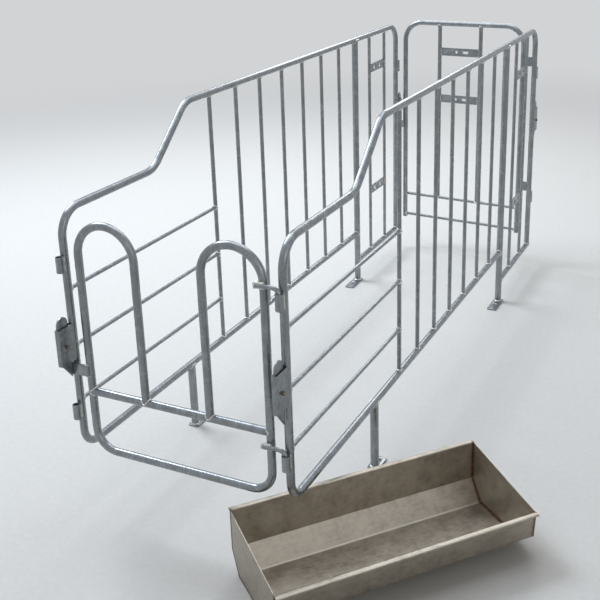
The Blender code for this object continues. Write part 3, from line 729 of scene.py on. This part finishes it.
arch = bent_path(at_gate(((-REAR_X, ARCH_END_Z), (-REAR_X, REAR_TOP), (REAR_X, REAR_TOP),
                          (REAR_X, ARCH_END_Z))), (ARCH_BEND, ARCH_BEND))
low_rail = at_gate(((-REAR_X, LOW_RAIL_Z), (REAR_X, LOW_RAIL_Z)))
on_rear_gate("rear_gate_arch", tubes("arch", [(arch, TUBE_R), (low_rail, BAR_R)]),
             ["rear_gate_frame"])
high_rail = at_gate(((-REAR_X, HIGH_RAIL_Z), (REAR_X, HIGH_RAIL_Z)))
on_rear_gate("rear_gate_thin_rail", tubes("rail", [(high_rail, BAR_R)], sides=28),
             ["rear_gate_rail"])

LADDER_X = (-0.1075, 0.0815)
LADDER_Z = (0.720, 0.928)
LADDER_R = 0.0085
LADDER_HALF = 0.0175
HOLE_X, HOLE_R = -0.029, 0.006
LONG_HOLE_X, LONG_HOLE_R = (0.005, 0.021), 0.005
rungs = [(at_gate(((px, HIGH_RAIL_Z), (px, REAR_TOP))), LADDER_R) for px in LADDER_X]
parts = [tubes("ladder", rungs, sides=28)]
for z in LADDER_Z:
    long_hole = [(LONG_HOLE_X[1] + LONG_HOLE_R * math.cos(math.radians(a)),
                  z + LONG_HOLE_R * math.sin(math.radians(a))) for a in range(-90, 91, 15)]
    long_hole += [(sum(LONG_HOLE_X) - px, 2 * z - pz) for px, pz in long_hole]
    outline = rounded(*LADDER_X, z - LADDER_HALF, z + LADDER_HALF, radius=0.001)
    plate = flat_plate("rung", outline, [circle(HOLE_X, z, HOLE_R), long_hole], STRIP_T)
    parts.append(moved(plate, (REAR_MIDDLE, REAR_PLANE, 0), FACING_FRONT))
on_rear_gate("rear_gate_punched_ladder", together("ladder", parts, galvanised),
             ["rear_gate_ladder"])


# Rear hinge straps: flat bar welded on the gate's tube, with the pin welded on its end. The
# strap's lower edge rests on the eye. The striker is a short end of the same flat bar.

WELD_GAP = 0.0003
STRAP_H = 0.040
STRAP_LAP, STRAP_END = 0.012, 0.007
PIN_R = 0.006
PIN_BELOW, PIN_ABOVE = 0.012, 0.035
REAR_STRIKER_LAP = 0.0053
strap_in = GATE_OUT + TUBE_R + WELD_GAP - EYE_OUT

for level, (_, z, height) in zip(("lower", "upper"), EYES[2:]):
    low = z + height / 2 + WELD_GAP
    outline = rounded(REAR_X + REAR_MIDDLE - STRAP_LAP, STRAP_END, low, low + STRAP_H, radius=0.003)
    plate = flat_plate("strap", outline, [], STRIP_T)
    moved(plate, (0, strap_in + STRIP_T / 2, 0), FACING_FRONT)
    pin_path = [Vector((0, 0, z - height / 2 - PIN_BELOW)), Vector((0, 0, low + PIN_ABOVE))]
    pin = tubes("pin", [(pin_path, PIN_R)], sides=28)
    on_rear_gate(f"rear_gate_{level}_strap_and_pin", together("strap", [plate, pin], galvanised),
                 [f"rear_gate_{level}_hinge_strap"])

rear_striker_y = STRIKER_OUT - EYE_OUT - STRIP_T / 2
rear_striker_z = LATCHES["rear"][1] - STRIKER_DROP
mesh = striker(-2 * PANEL_X - STRIKER_PAST, -REAR_X + REAR_MIDDLE + REAR_STRIKER_LAP,
               rear_striker_y, rear_striker_z)
on_rear_gate("rear_gate_strap", mesh, ["rear_gate_striker"])


# Welds: each bar is arc-welded to the tube it meets before the crate is dipped, so the beads
# stand proud as bright, uneven collars of zinc-covered steel.

# Zinc over weld metal: the same coat as the tube, thicker and brighter on the rounded beads.
weld_zinc, tree, shader, spot = finish("galvanised_weld_metal")
beads = add(tree, "ShaderNodeTexNoise", vector=spot, scale=260.0, detail=4.0, roughness=0.6)
tones = add(tree, "ShaderNodeValToRGB", fac=beads.outputs[0],
            stops=((0.30, "#B2B1AB"), (0.50, "#D2D0CA"), (0.68, "#EDEBE4")))
satin = add(tree, "ShaderNodeMapRange", value=beads.outputs[0], to_min=0.40, to_max=0.22)
ripple = add(tree, "ShaderNodeBump", height=beads.outputs[0], strength=0.12, distance=0.0008)
surface(tree, shader, tones.outputs[0], satin, ripple, metallic=0.88)

# A bead laid along its seam: a thin round strand whose thickness and place wander.
weld_bead, entry, leave = new_tree("weld_bead", Sides=int, Wander=float, Seed=float,
                                   Finish=bpy.types.Material)
curve, ring, thick = strand(weld_bead, entry)
place = add(weld_bead, "GeometryNodeInputPosition")
lumps = add(weld_bead, "ShaderNodeTexNoise", {"noise_dimensions": "4D"},
            vector=place.outputs[0], w=entry["Seed"], scale=170.0, detail=2.0)
swell = add(weld_bead, "ShaderNodeMapRange", value=lumps.outputs[0], from_min=0.3,
            from_max=0.7, to_min=0.70, to_max=1.35)
size = add(weld_bead, "ShaderNodeMath", {"operation": "MULTIPLY"}, i0=thick, i1=swell.outputs[0])
sweep = add(weld_bead, "GeometryNodeCurveToMesh", curve=curve, profile_curve=ring,
            scale=size.outputs[0], fill_caps=True)
shift = add(weld_bead, "ShaderNodeVectorMath", {"operation": "SUBTRACT"},
            i0=lumps.outputs["Color"], i1=(0.5, 0.5, 0.5))
drift = add(weld_bead, "ShaderNodeVectorMath", {"operation": "SCALE"}, i0=shift.outputs[0],
            scale=entry["Wander"])
uneven = add(weld_bead, "GeometryNodeSetPosition", geometry=sweep.outputs[0],
             offset=drift.outputs[0])
dressed(weld_bead, uneven, entry, leave)


def collar(at, along, across, radius, other, count=20):
    """Seam round a bar's end on another tube. The bar leaves the spot along its own direction."""
    at, along, across = Vector(at), Vector(along), Vector(across)
    side = along.cross(across)
    seam = []
    for k in range(count + 1):
        a = 2 * math.pi * k / count
        rise = math.sqrt(max(0.0, other ** 2 - (radius * math.sin(a)) ** 2))
        seam.append(at + side * radius * math.sin(a) + across * radius * math.cos(a)
                    + along * rise)
    return seam


def straight(start, way, length, count):
    """A straight seam in even steps."""
    return [Vector(start) + Vector(way) * length * k / count for k in range(count + 1)]


def beads_of(name, seams, body, move=MIDDLE):
    """All weld beads of one body. Each seam is its path and the bead's radius."""
    source = line_mesh(name, [path for path, _ in seams], radius=[size for _, size in seams])
    mesh = grown(name, source, weld_bead, Sides=10, Wander=0.0022, Seed=3.0, Finish=weld_zinc)
    bm = bmesh.new()
    bm.from_mesh(mesh)
    bmesh.ops.remove_doubles(bm, verts=bm.verts, dist=0.00001)
    bm.to_mesh(mesh)
    bm.free()
    return piece(name, mesh, body, move=move)


# The thickness of each kind of bead, and how far a bead's middle stands off a bar or a tube.
BEAD_R = 0.0028
TUBE_BEAD_R = 0.0021
FOOT_BEAD_R = 0.0025
STRAP_BEAD_R = 0.0026
EDGE_BEAD_R = 0.0018
PIN_BEAD_R = 0.0013
HOOK_BEADS = ((-1, 0.0034), (1, 0.0046))
HOOK_END_BEAD_R = 0.0032
PROUD, SNUG = 0.001, 0.0005
# How far an eye's two seams lie from its middle, to the sides and towards the post.
EYE_SEAM_SIDE, EYE_SEAM_IN = 0.0062, 0.0102
# The seams of hooks, strikers and straps: their lengths, and where they lie on the gate's tube or
# beside the pin. A seam along an edge stops short of its ends.
HOOK_SEAM, HOOK_SEAM_IN, HOOK_SEAM_BACK, HOOK_SEAM_OFF = 0.021, 0.013, 0.0015, 0.0052
HOOK_RING_R, HOOK_RING_IN = 0.005, 0.015
STRIKER_SEAM, STRIKER_SEAM_IN = 0.008, 0.004
STRAP_SEAM_X, STRAP_SEAM_BACK, PIN_SEAM_X = 0.0075, 0.001, 0.0055
SHORT = 0.002
UP, DOWN, BACK, FORTH = (0, 0, 1), (0, 0, -1), (0, 1, 0), (0, -1, 0)
RIGHT, LEFT = (1, 0, 0), (-1, 0, 0)
INWARD = {-1: RIGHT, 1: LEFT}
edge_y = STRIP_T / 2 + SNUG

seams = []
for _, x in SIDES:
    for y, low in BARS:
        seams += [(collar((x, y, z), way, BACK, BAR_R + PROUD, TUBE_R), BEAD_R)
                  for z, way in ((low, UP), (TOP_Z, DOWN))]
    for z in RAILS:
        seams += [(collar((x, y, z), way, UP, RAIL_R + PROUD, post), BEAD_R)
                  for y, way, post in ((FRONT_Y, BACK, TUBE_R), (BARS[0][0], FORTH, BAR_R))]
    seams += [(collar((x, y, z), DOWN, BACK, LEG_R + PROUD, TUBE_R), BEAD_R)
              for y, z in ((FRONT_LEG_Y, BASE_Z), (LEG_Y, TOP_Z))]
    seams += [(collar((x, LEG_Y, z), way, UP, TUBE_R + SNUG, LEG_R), TUBE_BEAD_R)
              for z, way in ((BASE_Z, FORTH), (TAIL_Z, BACK))]
    seams.append((collar((x, REAR_Y, TAIL_Z), UP, BACK, TUBE_R + SNUG, TUBE_R), TUBE_BEAD_R))
    for y in (FRONT_LEG_Y, LEG_Y):
        foot = [Vector((px, py, FOOT_T + SNUG)) for px, py in circle(x, y, LEG_R, 24)]
        seams.append((foot + foot[:1], FOOT_BEAD_R))
    for y, z, height in EYES:
        joint = y + math.copysign(EYE_SEAM_IN, -y)
        for s in (-1, 1):
            start = (x + s * EYE_SEAM_SIDE, joint, z - height / 2 + SHORT)
            seams.append((straight(start, UP, height * 10 / 11, 10), STRAP_BEAD_R))
    for z in STOP_Z:
        for y, s in zip(TAIL_BARS, (1, -1)):
            for w in (-1, 1):
                start = (x + w * edge_y, y + s * BAR_R, z - STOP_HALF + SHORT)
                seams.append((straight(start, UP, 2 * (STOP_HALF - SHORT), 8), EDGE_BEAD_R))
beads_of("crate_weld_beads", seams, "crate")

seams = []
for s in (-1, 1):
    seams += [(collar((px, GATE_PLANE, CROSS_Z), way, across, TUBE_R + SNUG, TUBE_R), TUBE_BEAD_R)
              for px, way, across in ((s * inner_x, UP, RIGHT), (s * GATE_X, INWARD[s], UP))]
for y, z, height in EYES[:2]:
    rod_z = z + height / 2 + HOOK_RISE
    for s, size in HOOK_BEADS:
        start = (GATE_X - HOOK_SEAM_IN, y + HOOK_SEAM_BACK, rod_z + s * HOOK_SEAM_OFF)
        seams.append((straight(start, RIGHT, HOOK_SEAM, 8), size))
    turns = [math.radians(a) for a in range(-120, 181, 30)]
    ring = [Vector((GATE_X - HOOK_RING_IN, y + HOOK_RING_R * math.cos(a),
                    rod_z + HOOK_RING_R * math.sin(a))) for a in turns]
    seams.append((ring, HOOK_END_BEAD_R))
for s in (-1, 1):
    start = (-GATE_X - STRIKER_SEAM / 2, FRONT_Y - STRIKER_OUT + STRIKER_SEAM_IN,
             front_striker_z + s * (STRIKER_HALF + SNUG))
    seams.append((straight(start, RIGHT, STRIKER_SEAM, 4), STRAP_BEAD_R))
beads_of("front_gate_weld_beads", seams, "front_gate")

seams = []
for s in (-1, 1):
    for z in (LOW_RAIL_Z, HIGH_RAIL_Z):
        at = at_gate(((s * REAR_X, z),))[0]
        seams.append((collar(at, INWARD[s], UP, BAR_R + PROUD, TUBE_R), BEAD_R))
    ladder_x = LADDER_X[s > 0]
    top, low = at_gate(((ladder_x, REAR_TOP), (ladder_x, HIGH_RAIL_Z)))
    seams.append((collar(top, DOWN, RIGHT, LADDER_R + PROUD, TUBE_R), BEAD_R))
    seams.append((collar(low, UP, RIGHT, LADDER_R + PROUD, BAR_R), BEAD_R))
    for z in LADDER_Z:
        edge = at_gate(((ladder_x - s * LADDER_R, z - LADDER_HALF + SHORT),))[0]
        seams += [(straight(edge + Vector((0, w * edge_y, 0)), UP, 2 * (LADDER_HALF - SHORT), 8),
                   EDGE_BEAD_R) for w in (-1, 1)]
for _, z, height in EYES[2:]:
    low = z + height / 2 + WELD_GAP + SHORT
    by_tube = (REAR_X + REAR_MIDDLE + STRAP_SEAM_X, strap_in + STRAP_SEAM_BACK, low)
    seams.append((straight(by_tube, UP, STRAP_H - 2 * SHORT, 9), STRAP_BEAD_R))
    by_pin = (PIN_SEAM_X, strap_in + SNUG, low)
    seams.append((straight(by_pin, UP, STRAP_H - 4 * SHORT, 9), PIN_BEAD_R))
for s in (-1, 1):
    start = (-REAR_X + REAR_MIDDLE - STRIKER_SEAM / 2, STRIKER_OUT - EYE_OUT - STRIKER_SEAM_IN,
             rear_striker_z + s * (STRIKER_HALF + SNUG))
    seams.append((straight(start, RIGHT, STRIKER_SEAM, 4), STRAP_BEAD_R))
for path, _ in seams:
    path[:] = [ajar @ point for point in path]
beads_of("rear_gate_weld_beads", seams, "rear_gate", Vector())


# Feed trough: one stainless sheet folded along its length, with its long edges turned out into
# flat lips and two end plates welded in. It stands loose on the floor by the gate.

TROUGH_AT = MIDDLE + Vector((0.493, -1.010, 0))
TROUGH_TURN = math.radians(50.1) - math.pi / 2
LENGTH, WIDTH = 0.713, 0.311
BACK_H, FRONT_H = 0.170, 0.122
LIP, SHEET = 0.013, 0.002
BACK_FOLD_Z, FRONT_FOLD_Z, LEAN = 0.058, 0.045, 0.007
FLOOR_X = (0.056 - WIDTH / 2, 0.160 - WIDTH / 2)

# Stainless sheet with a mill finish: satin grey, warm, faint grain along the sheet, hand smudges.
# A painted highlight lines the fold below its back, and the welds' heat has left a brown tint.
stainless, tree, shader, spot = finish("mill_finish_stainless")
turned_back = add(tree, "ShaderNodeMapping", {"vector_type": "TEXTURE"}, vector=spot,
                  location=TROUGH_AT, rotation=(0, 0, TROUGH_TURN))
own = turned_back.outputs[0]
brushed = add(tree, "ShaderNodeMapping", vector=own, scale=(1.0, 0.03, 1.0))
brush = add(tree, "ShaderNodeTexNoise", vector=brushed.outputs[0], scale=700.0, detail=3.0)
smudge = add(tree, "ShaderNodeTexNoise", vector=own, scale=22.0, detail=5.0, roughness=0.6)
drops = add(tree, "ShaderNodeTexNoise", vector=own, scale=90.0, detail=4.0, roughness=0.7)
blend_a = add(tree, "ShaderNodeMix", {"data_type": "FLOAT"}, i0=0.35, i2=smudge.outputs[0],
              i3=drops.outputs[0])
blend_b = add(tree, "ShaderNodeMix", {"data_type": "FLOAT"}, i0=0.25, i2=blend_a.outputs[0],
              i3=brush.outputs[0])
steel = add(tree, "ShaderNodeValToRGB", fac=blend_b.outputs[0],
            stops=((0.32, "#8B8378"), (0.50, "#AEA597"), (0.66, "#C1B8A9")))
# Painted highlight: a thin lighter line along the fold between the back slope and the floor, where
# the bent sheet catches the light.
place = add(tree, "ShaderNodeSeparateXYZ", vector=own)
off_fold = add(tree, "ShaderNodeMath", {"operation": "SUBTRACT"}, i0=place.outputs["X"],
               i1=FLOOR_X[0])
beside = add(tree, "ShaderNodeMath", {"operation": "ABSOLUTE"}, i0=off_fold.outputs[0])
near_fold = add(tree, "ShaderNodeMath", {"operation": "ADD"}, i0=beside.outputs[0],
                i1=place.outputs["Z"])
rub = add(tree, "ShaderNodeValToRGB", fac=near_fold.outputs[0],
          stops=((0.0034, 0.8), (0.0048, 0.0)))
rubbed = add(tree, "ShaderNodeMix", {"data_type": "RGBA"}, i0=rub.outputs[0],
             i6=steel.outputs[0], i7=linear("#E2DCD0"))
heat = add(tree, "ShaderNodeAttribute", {"attribute_name": "weld_tint"})
tint = add(tree, "ShaderNodeMath", {"operation": "MULTIPLY"}, i0=heat.outputs["Fac"],
           i1=drops.outputs[0])
share = add(tree, "ShaderNodeValToRGB", fac=tint.outputs[0], stops=((0.16, 0.0), (0.44, 0.85)))
browns = add(tree, "ShaderNodeValToRGB", fac=tint.outputs[0],
             stops=((0.18, "#8E7450"), (0.32, "#6B4A2E"), (0.46, "#46342B")))
browned = add(tree, "ShaderNodeMix", {"data_type": "RGBA"}, i0=share.outputs[0],
              i6=rubbed.outputs[2], i7=browns.outputs[0])
sheen = add(tree, "ShaderNodeMapRange", value=blend_a.outputs[0], from_min=0.3, from_max=0.7,
            to_min=0.30, to_max=0.46)
lay = add(tree, "ShaderNodeBump", height=brush.outputs[0], strength=0.12, distance=0.0003)
surface(tree, shader, browned.outputs[2], sheen, lay, metallic=0.75)


def folded(corners, radius, count=4):
    """An open outline with its corners rounded, as pairs."""
    points = [corners[0]]
    for before, corner, after in zip(corners, corners[1:], corners[2:]):
        b, c, a = Vector(before), Vector(corner), Vector(after)
        into, out = (b - c).normalized(), (a - c).normalized()
        reach = radius / math.tan(into.angle(out) / 2)
        first, last = c + into * reach, c + out * reach
        for k in range(count + 1):
            t = k / count
            spot = first * (1 - t) ** 2 + c * 2 * t * (1 - t) + last * t ** 2
            points.append((spot.x, spot.y))
    points.append(corners[-1])
    return points


# The sheet's middle line across the trough, from the back lip's end down, along the floor and up
# to the front lip's end.
half_w, half_t = WIDTH / 2, SHEET / 2
edge_x, wall_x = half_w - half_t, half_w - LIP - half_t
LIP_END, FOLD_R = 0.004, 0.0025
trough_line = folded([(-edge_x, BACK_H - LIP_END), (-edge_x, BACK_H - half_t),
                      (-wall_x, BACK_H - half_t), (-wall_x, BACK_FOLD_Z),
                      (FLOOR_X[0], half_t), (FLOOR_X[1], half_t), (wall_x - LEAN, FRONT_FOLD_Z),
                      (wall_x, FRONT_H - half_t), (edge_x, FRONT_H - half_t),
                      (edge_x, FRONT_H - LIP_END)], FOLD_R)


def shell(mesh):
    """Give an open sheet its thickness, half on each side."""
    holder = placed("shell", mesh)
    step = holder.modifiers.new("wall", "SOLIDIFY")
    step.thickness = SHEET
    step.offset = 0
    step.use_even_offset = True
    return settled(holder)


def spaced(half, near, count):
    """Places from end to end: close together at both ends, and even between them."""
    even = [-half + near[-1] + 2 * (half - near[-1]) * k / count for k in range(1, count)]
    return [-half + d for d in near] + even + [half - d for d in reversed(near)]


def long_sheet():
    """The sheet along the trough as an open surface, with closer rows by its welded ends."""
    rows = spaced(LENGTH / 2, [0, 0.002, 0.004, 0.006, 0.008, 0.011, 0.015, 0.020, 0.030], 40)
    count = len(trough_line)
    made = bpy.data.meshes.new("long_sheet")
    points = [(px, y, pz) for y in rows for px, pz in trough_line]
    faces = [(k * count + j, k * count + j + 1, (k + 1) * count + j + 1, (k + 1) * count + j)
             for k in range(len(rows) - 1) for j in range(count - 1)]
    made.from_pydata(points, [], faces)
    return shell(made)


# The seam in which an end plate meets the sheet, from the back rim to the front one, and the same
# seam in short steps.
SEAM_STEP = 0.006
seam_line = [p for p in trough_line if abs(p[0]) <= wall_x + 0.0001 and p[1] < BACK_H - 0.002]
seam_line = [p for p in seam_line if p[0] < 0 or p[1] < FRONT_H - 0.003]
seam_line = [(-wall_x, BACK_H - half_t), *seam_line, (wall_x, FRONT_H - half_t)]
fine_line = []
for a, b in zip(seam_line, seam_line[1:]):
    steps = max(1, round(math.dist(a, b) / SEAM_STEP))
    fine_line += [(a[0] + (b[0] - a[0]) * k / steps, a[1] + (b[1] - a[1]) * k / steps)
                  for k in range(steps)]
fine_line.append(seam_line[-1])


def end_plate(y):
    """An end plate of the same sheet, drawn in columns. They and their rows are closer by the
    welded edge, where the weld's heat fades."""
    columns = spaced(wall_x, [0, 0.002, 0.004, 0.007, 0.011, 0.016], 14)
    rows = [0, 0.015, 0.030, 0.050, 0.080, 0.120, 0.2, 0.35, 0.5, 0.65, 0.8, 1.0]
    low_x, low_z = zip(*[p for p in fine_line if p[0] > -wall_x + 0.00005 or p[1] < 0.060])
    bm = bmesh.new()
    grid = []
    for px in columns:
        low = float(np.interp(px, low_x, low_z))
        top = FRONT_H - half_t + (BACK_H - FRONT_H) * (wall_x - px) / (2 * wall_x)
        grid.append([bm.verts.new((px, y, low + (top - low) * t)) for t in rows])
    for left, right in zip(grid, grid[1:]):
        for k in range(len(rows) - 1):
            bm.faces.new((left[k], right[k], right[k + 1], left[k + 1]))
    bmesh.ops.remove_doubles(bm, verts=bm.verts, dist=0.00005)
    return shell(drawn_mesh("end_plate", bm))


END_IN = 0.0015
parts = [long_sheet()] + [end_plate(s * (LENGTH / 2 - END_IN)) for s in (-1, 1)]
mesh = together("trough", parts, stainless)

# The weld's heat at each point: one at the seam, fading to none within its reach.
HEAT_REACH = 0.016
points = np.empty(len(mesh.vertices) * 3)
mesh.vertices.foreach_get("co", points)
points = points.reshape(-1, 3)
ends = LENGTH / 2 - np.abs(points[:, 1])
beside = np.full(len(points), 1.0)
for a, b in zip(seam_line, seam_line[1:]):
    a, b = np.array(a), np.array(b)
    from_a = points[:, ::2] - a
    along = np.clip((from_a @ (b - a)) / ((b - a) @ (b - a)), 0, 1)
    beside = np.minimum(beside, np.linalg.norm(from_a - along[:, None] * (b - a), axis=1))
layer = mesh.attributes.new("weld_tint", "FLOAT", "POINT")
layer.data.foreach_set("value", np.clip(1 - np.hypot(ends, beside) / HEAT_REACH, 0, 1))
turn = Matrix.Rotation(TROUGH_TURN, 4, "Z")
mesh.transform(turn)
piece("feed_trough_sheet", mesh, "crate", ["feed_trough"], TROUGH_AT, 25)


# Trough welds: each end plate is joined to the folded sheet by a thin weld along the inside of
# their seam, and a finer one outside, down the edge of the front wall. They are left as laid.

# Stainless weld left unpickled: a narrow rippled bead, tinted dark brown by its heat.
tinted_weld, tree, shader, spot = finish("heat_tinted_stainless_weld")
scale_marks = add(tree, "ShaderNodeTexNoise", vector=spot, scale=300.0, detail=4.0)
tones = add(tree, "ShaderNodeValToRGB", fac=scale_marks.outputs[0],
            stops=((0.35, "#4A3019"), (0.55, "#7A5230"), (0.70, "#96704A")))
crust = add(tree, "ShaderNodeMapRange", value=scale_marks.outputs[0], to_min=0.60, to_max=0.40)
waves = add(tree, "ShaderNodeBump", height=scale_marks.outputs[0], strength=0.3, distance=0.0004)
surface(tree, shader, tones.outputs[0], crust, waves, metallic=0.6)

# The inner bead lies in its corner, drawn in a little across the trough, off the end and off the
# sheet. The outer one runs down the front wall's edge to its low end.
INNER_BEAD_R, INNER_SHARE, INNER_END, INNER_RISE = 0.0013, 0.992, 0.0032, 0.0016
OUTER_BEAD_R, OUTER_END, OUTER_LOW_Z = 0.0007, 0.0004, 0.046
outer_top = FRONT_H - LIP_END
seams = []
for s in (-1, 1):
    inner = [turn @ Vector((px * INNER_SHARE, s * (LENGTH / 2 - INNER_END), pz + INNER_RISE))
             for px, pz in fine_line[1:-1]]
    outer = [turn @ Vector((wall_x + half_t - LEAN * k / 12, s * (LENGTH / 2 - OUTER_END),
                            outer_top - (outer_top - OUTER_LOW_Z) * k / 12)) for k in range(13)]
    seams += [(inner, INNER_BEAD_R), (outer, OUTER_BEAD_R)]
source = line_mesh("trough_seams", [path for path, _ in seams], radius=[size for _, size in seams])
mesh = grown("trough_weld_beads", source, weld_bead, Sides=8, Wander=0.0007, Seed=7.0,
             Finish=tinted_weld)
piece("trough_weld_beads", mesh, "crate", move=TROUGH_AT)


# Floor and backdrop: a plain sweep of pale studio paper, which fades to an even pale ground away
# from the crate.

FLOOR_HALF = 14

pale, tree, shader, spot = finish("pale_studio_paper")
fibre = add(tree, "ShaderNodeTexNoise", vector=spot, scale=60.0, detail=4.0)
tones = add(tree, "ShaderNodeValToRGB", fac=fibre.outputs[0],
            stops=((0.3, "#D9D6D0"), (0.7, "#DEDBD5")))
tree.links.new(tones.outputs[0], shader.inputs["Base Color"])
shader.inputs["Roughness"].default_value = 0.9
shader.inputs["Specular IOR Level"].default_value = 0.2
away = add(tree, "ShaderNodeVectorMath", {"operation": "LENGTH"}, i0=spot)
far = add(tree, "ShaderNodeMapRange", {"interpolation_type": "SMOOTHSTEP"},
          value=away.outputs["Value"], from_min=2.2, from_max=6.5)
rays = add(tree, "ShaderNodeLightPath")
seen = add(tree, "ShaderNodeMath", {"operation": "ADD", "use_clamp": True},
           i0=rays.outputs["Is Camera Ray"], i1=rays.outputs["Is Glossy Ray"])
shown = add(tree, "ShaderNodeMath", {"operation": "MULTIPLY"}, i0=seen.outputs[0],
            i1=far.outputs[0])
glow = add(tree, "ShaderNodeEmission", color=linear("#D9DBDD"), strength=0.92)
distance = add(tree, "ShaderNodeMixShader", fac=shown.outputs[0], i1=shader.outputs[0],
               i2=glow.outputs[0])
tree.links.new(distance.outputs[0], tree.nodes["Material Output"].inputs["Surface"])
floor_mesh = bpy.data.meshes.new("studio_floor")
corners = [(sx * FLOOR_HALF, sy * FLOOR_HALF, 0) for sx, sy in ((-1, -1), (1, -1), (1, 1), (-1, 1))]
floor_mesh.from_pydata(corners, [], [(0, 1, 2, 3)])
floor_mesh.materials.append(pale)
floor = placed("studio_floor", floor_mesh)

world = bpy.data.worlds.new("studio")
bpy.context.scene.world = world
world.use_nodes = True
sky = world.node_tree
back = sky.nodes["Background"]
rays = add(sky, "ShaderNodeLightPath")
seen = add(sky, "ShaderNodeMath", {"operation": "MAXIMUM"}, i0=rays.outputs["Is Camera Ray"],
           i1=rays.outputs["Is Glossy Ray"])
power = add(sky, "ShaderNodeMapRange", value=seen.outputs[0], to_min=0.30, to_max=0.92)
sky.links.new(power.outputs[0], back.inputs["Strength"])
back.inputs["Color"].default_value = linear("#D9DDE3")


# Lights: a broad soft ceiling lamp, and a large soft key lamp high on the left, whose light runs
# along the tubes. Two weaker ones lift the sides that it does not reach.

def lamp(name, at, aim, size, watts, colour="#FFFFFF"):
    """A soft rectangular lamp that looks at a point."""
    data = bpy.data.lights.new(name, "AREA")
    data.shape = "RECTANGLE"
    data.size, data.size_y = size
    data.energy = watts
    data.color = linear(colour)[:3]
    made = placed(name, data)
    made.location = at
    made.rotation_euler = (Vector(aim) - Vector(at)).to_track_quat("-Z", "Y").to_euler()


lamp("ceiling_lamp", (-0.8, 0.6, 4.4), (-0.2, 0, 0), (4.0, 4.0), 100, "#EAF1FA")
lamp("key_lamp", (-4.5, 0.9, 5.0), (0, 0, 0.4), (3.0, 2.5), 320, "#E4EFFD")
lamp("fill_lamp", (3.4, -2.6, 2.2), (0, 0, 0.4), (2.0, 2.0), 10)
lamp("rear_lamp", (-1.0, 4.0, 3.0), (0, 0, 0.5), (2.5, 1.2), 40)


# Camera: the photograph's viewing angle, taken as a square picture. The focal length and the
# picture's centre are in its pixels.

PIXELS = 600
FOCAL, CENTRE = 982.222, (299.201, 221.024)
FILM = 36
CAMERA_AT = MIDDLE + Vector((1.27430, -2.95710, 1.62049))
YAW, PITCH, ROLL = math.radians(26.991), math.radians(18.618), math.radians(1.899)
look = Vector((-math.sin(YAW) * math.cos(PITCH), math.cos(YAW) * math.cos(PITCH),
               -math.sin(PITCH)))
right = Vector((math.cos(YAW), math.sin(YAW), 0))
down = look.cross(right)
across = right * math.cos(ROLL) + down * math.sin(ROLL)
below = down * math.cos(ROLL) - right * math.sin(ROLL)
camera_data = bpy.data.cameras.new("camera")
camera_data.sensor_width = FILM
camera_data.lens = FILM * FOCAL / PIXELS
camera_data.shift_x = (PIXELS / 2 - CENTRE[0]) / PIXELS
camera_data.shift_y = -(PIXELS / 2 - CENTRE[1]) / PIXELS
camera_data.clip_start, camera_data.clip_end = 0.1, 60
camera = placed("camera", camera_data)
camera.matrix_world = (Matrix.Translation(CAMERA_AT)
                       @ Matrix((across, -below, -look)).transposed().to_4x4())
bpy.context.scene.camera = camera
bpy.context.scene.view_settings.view_transform = "Standard"
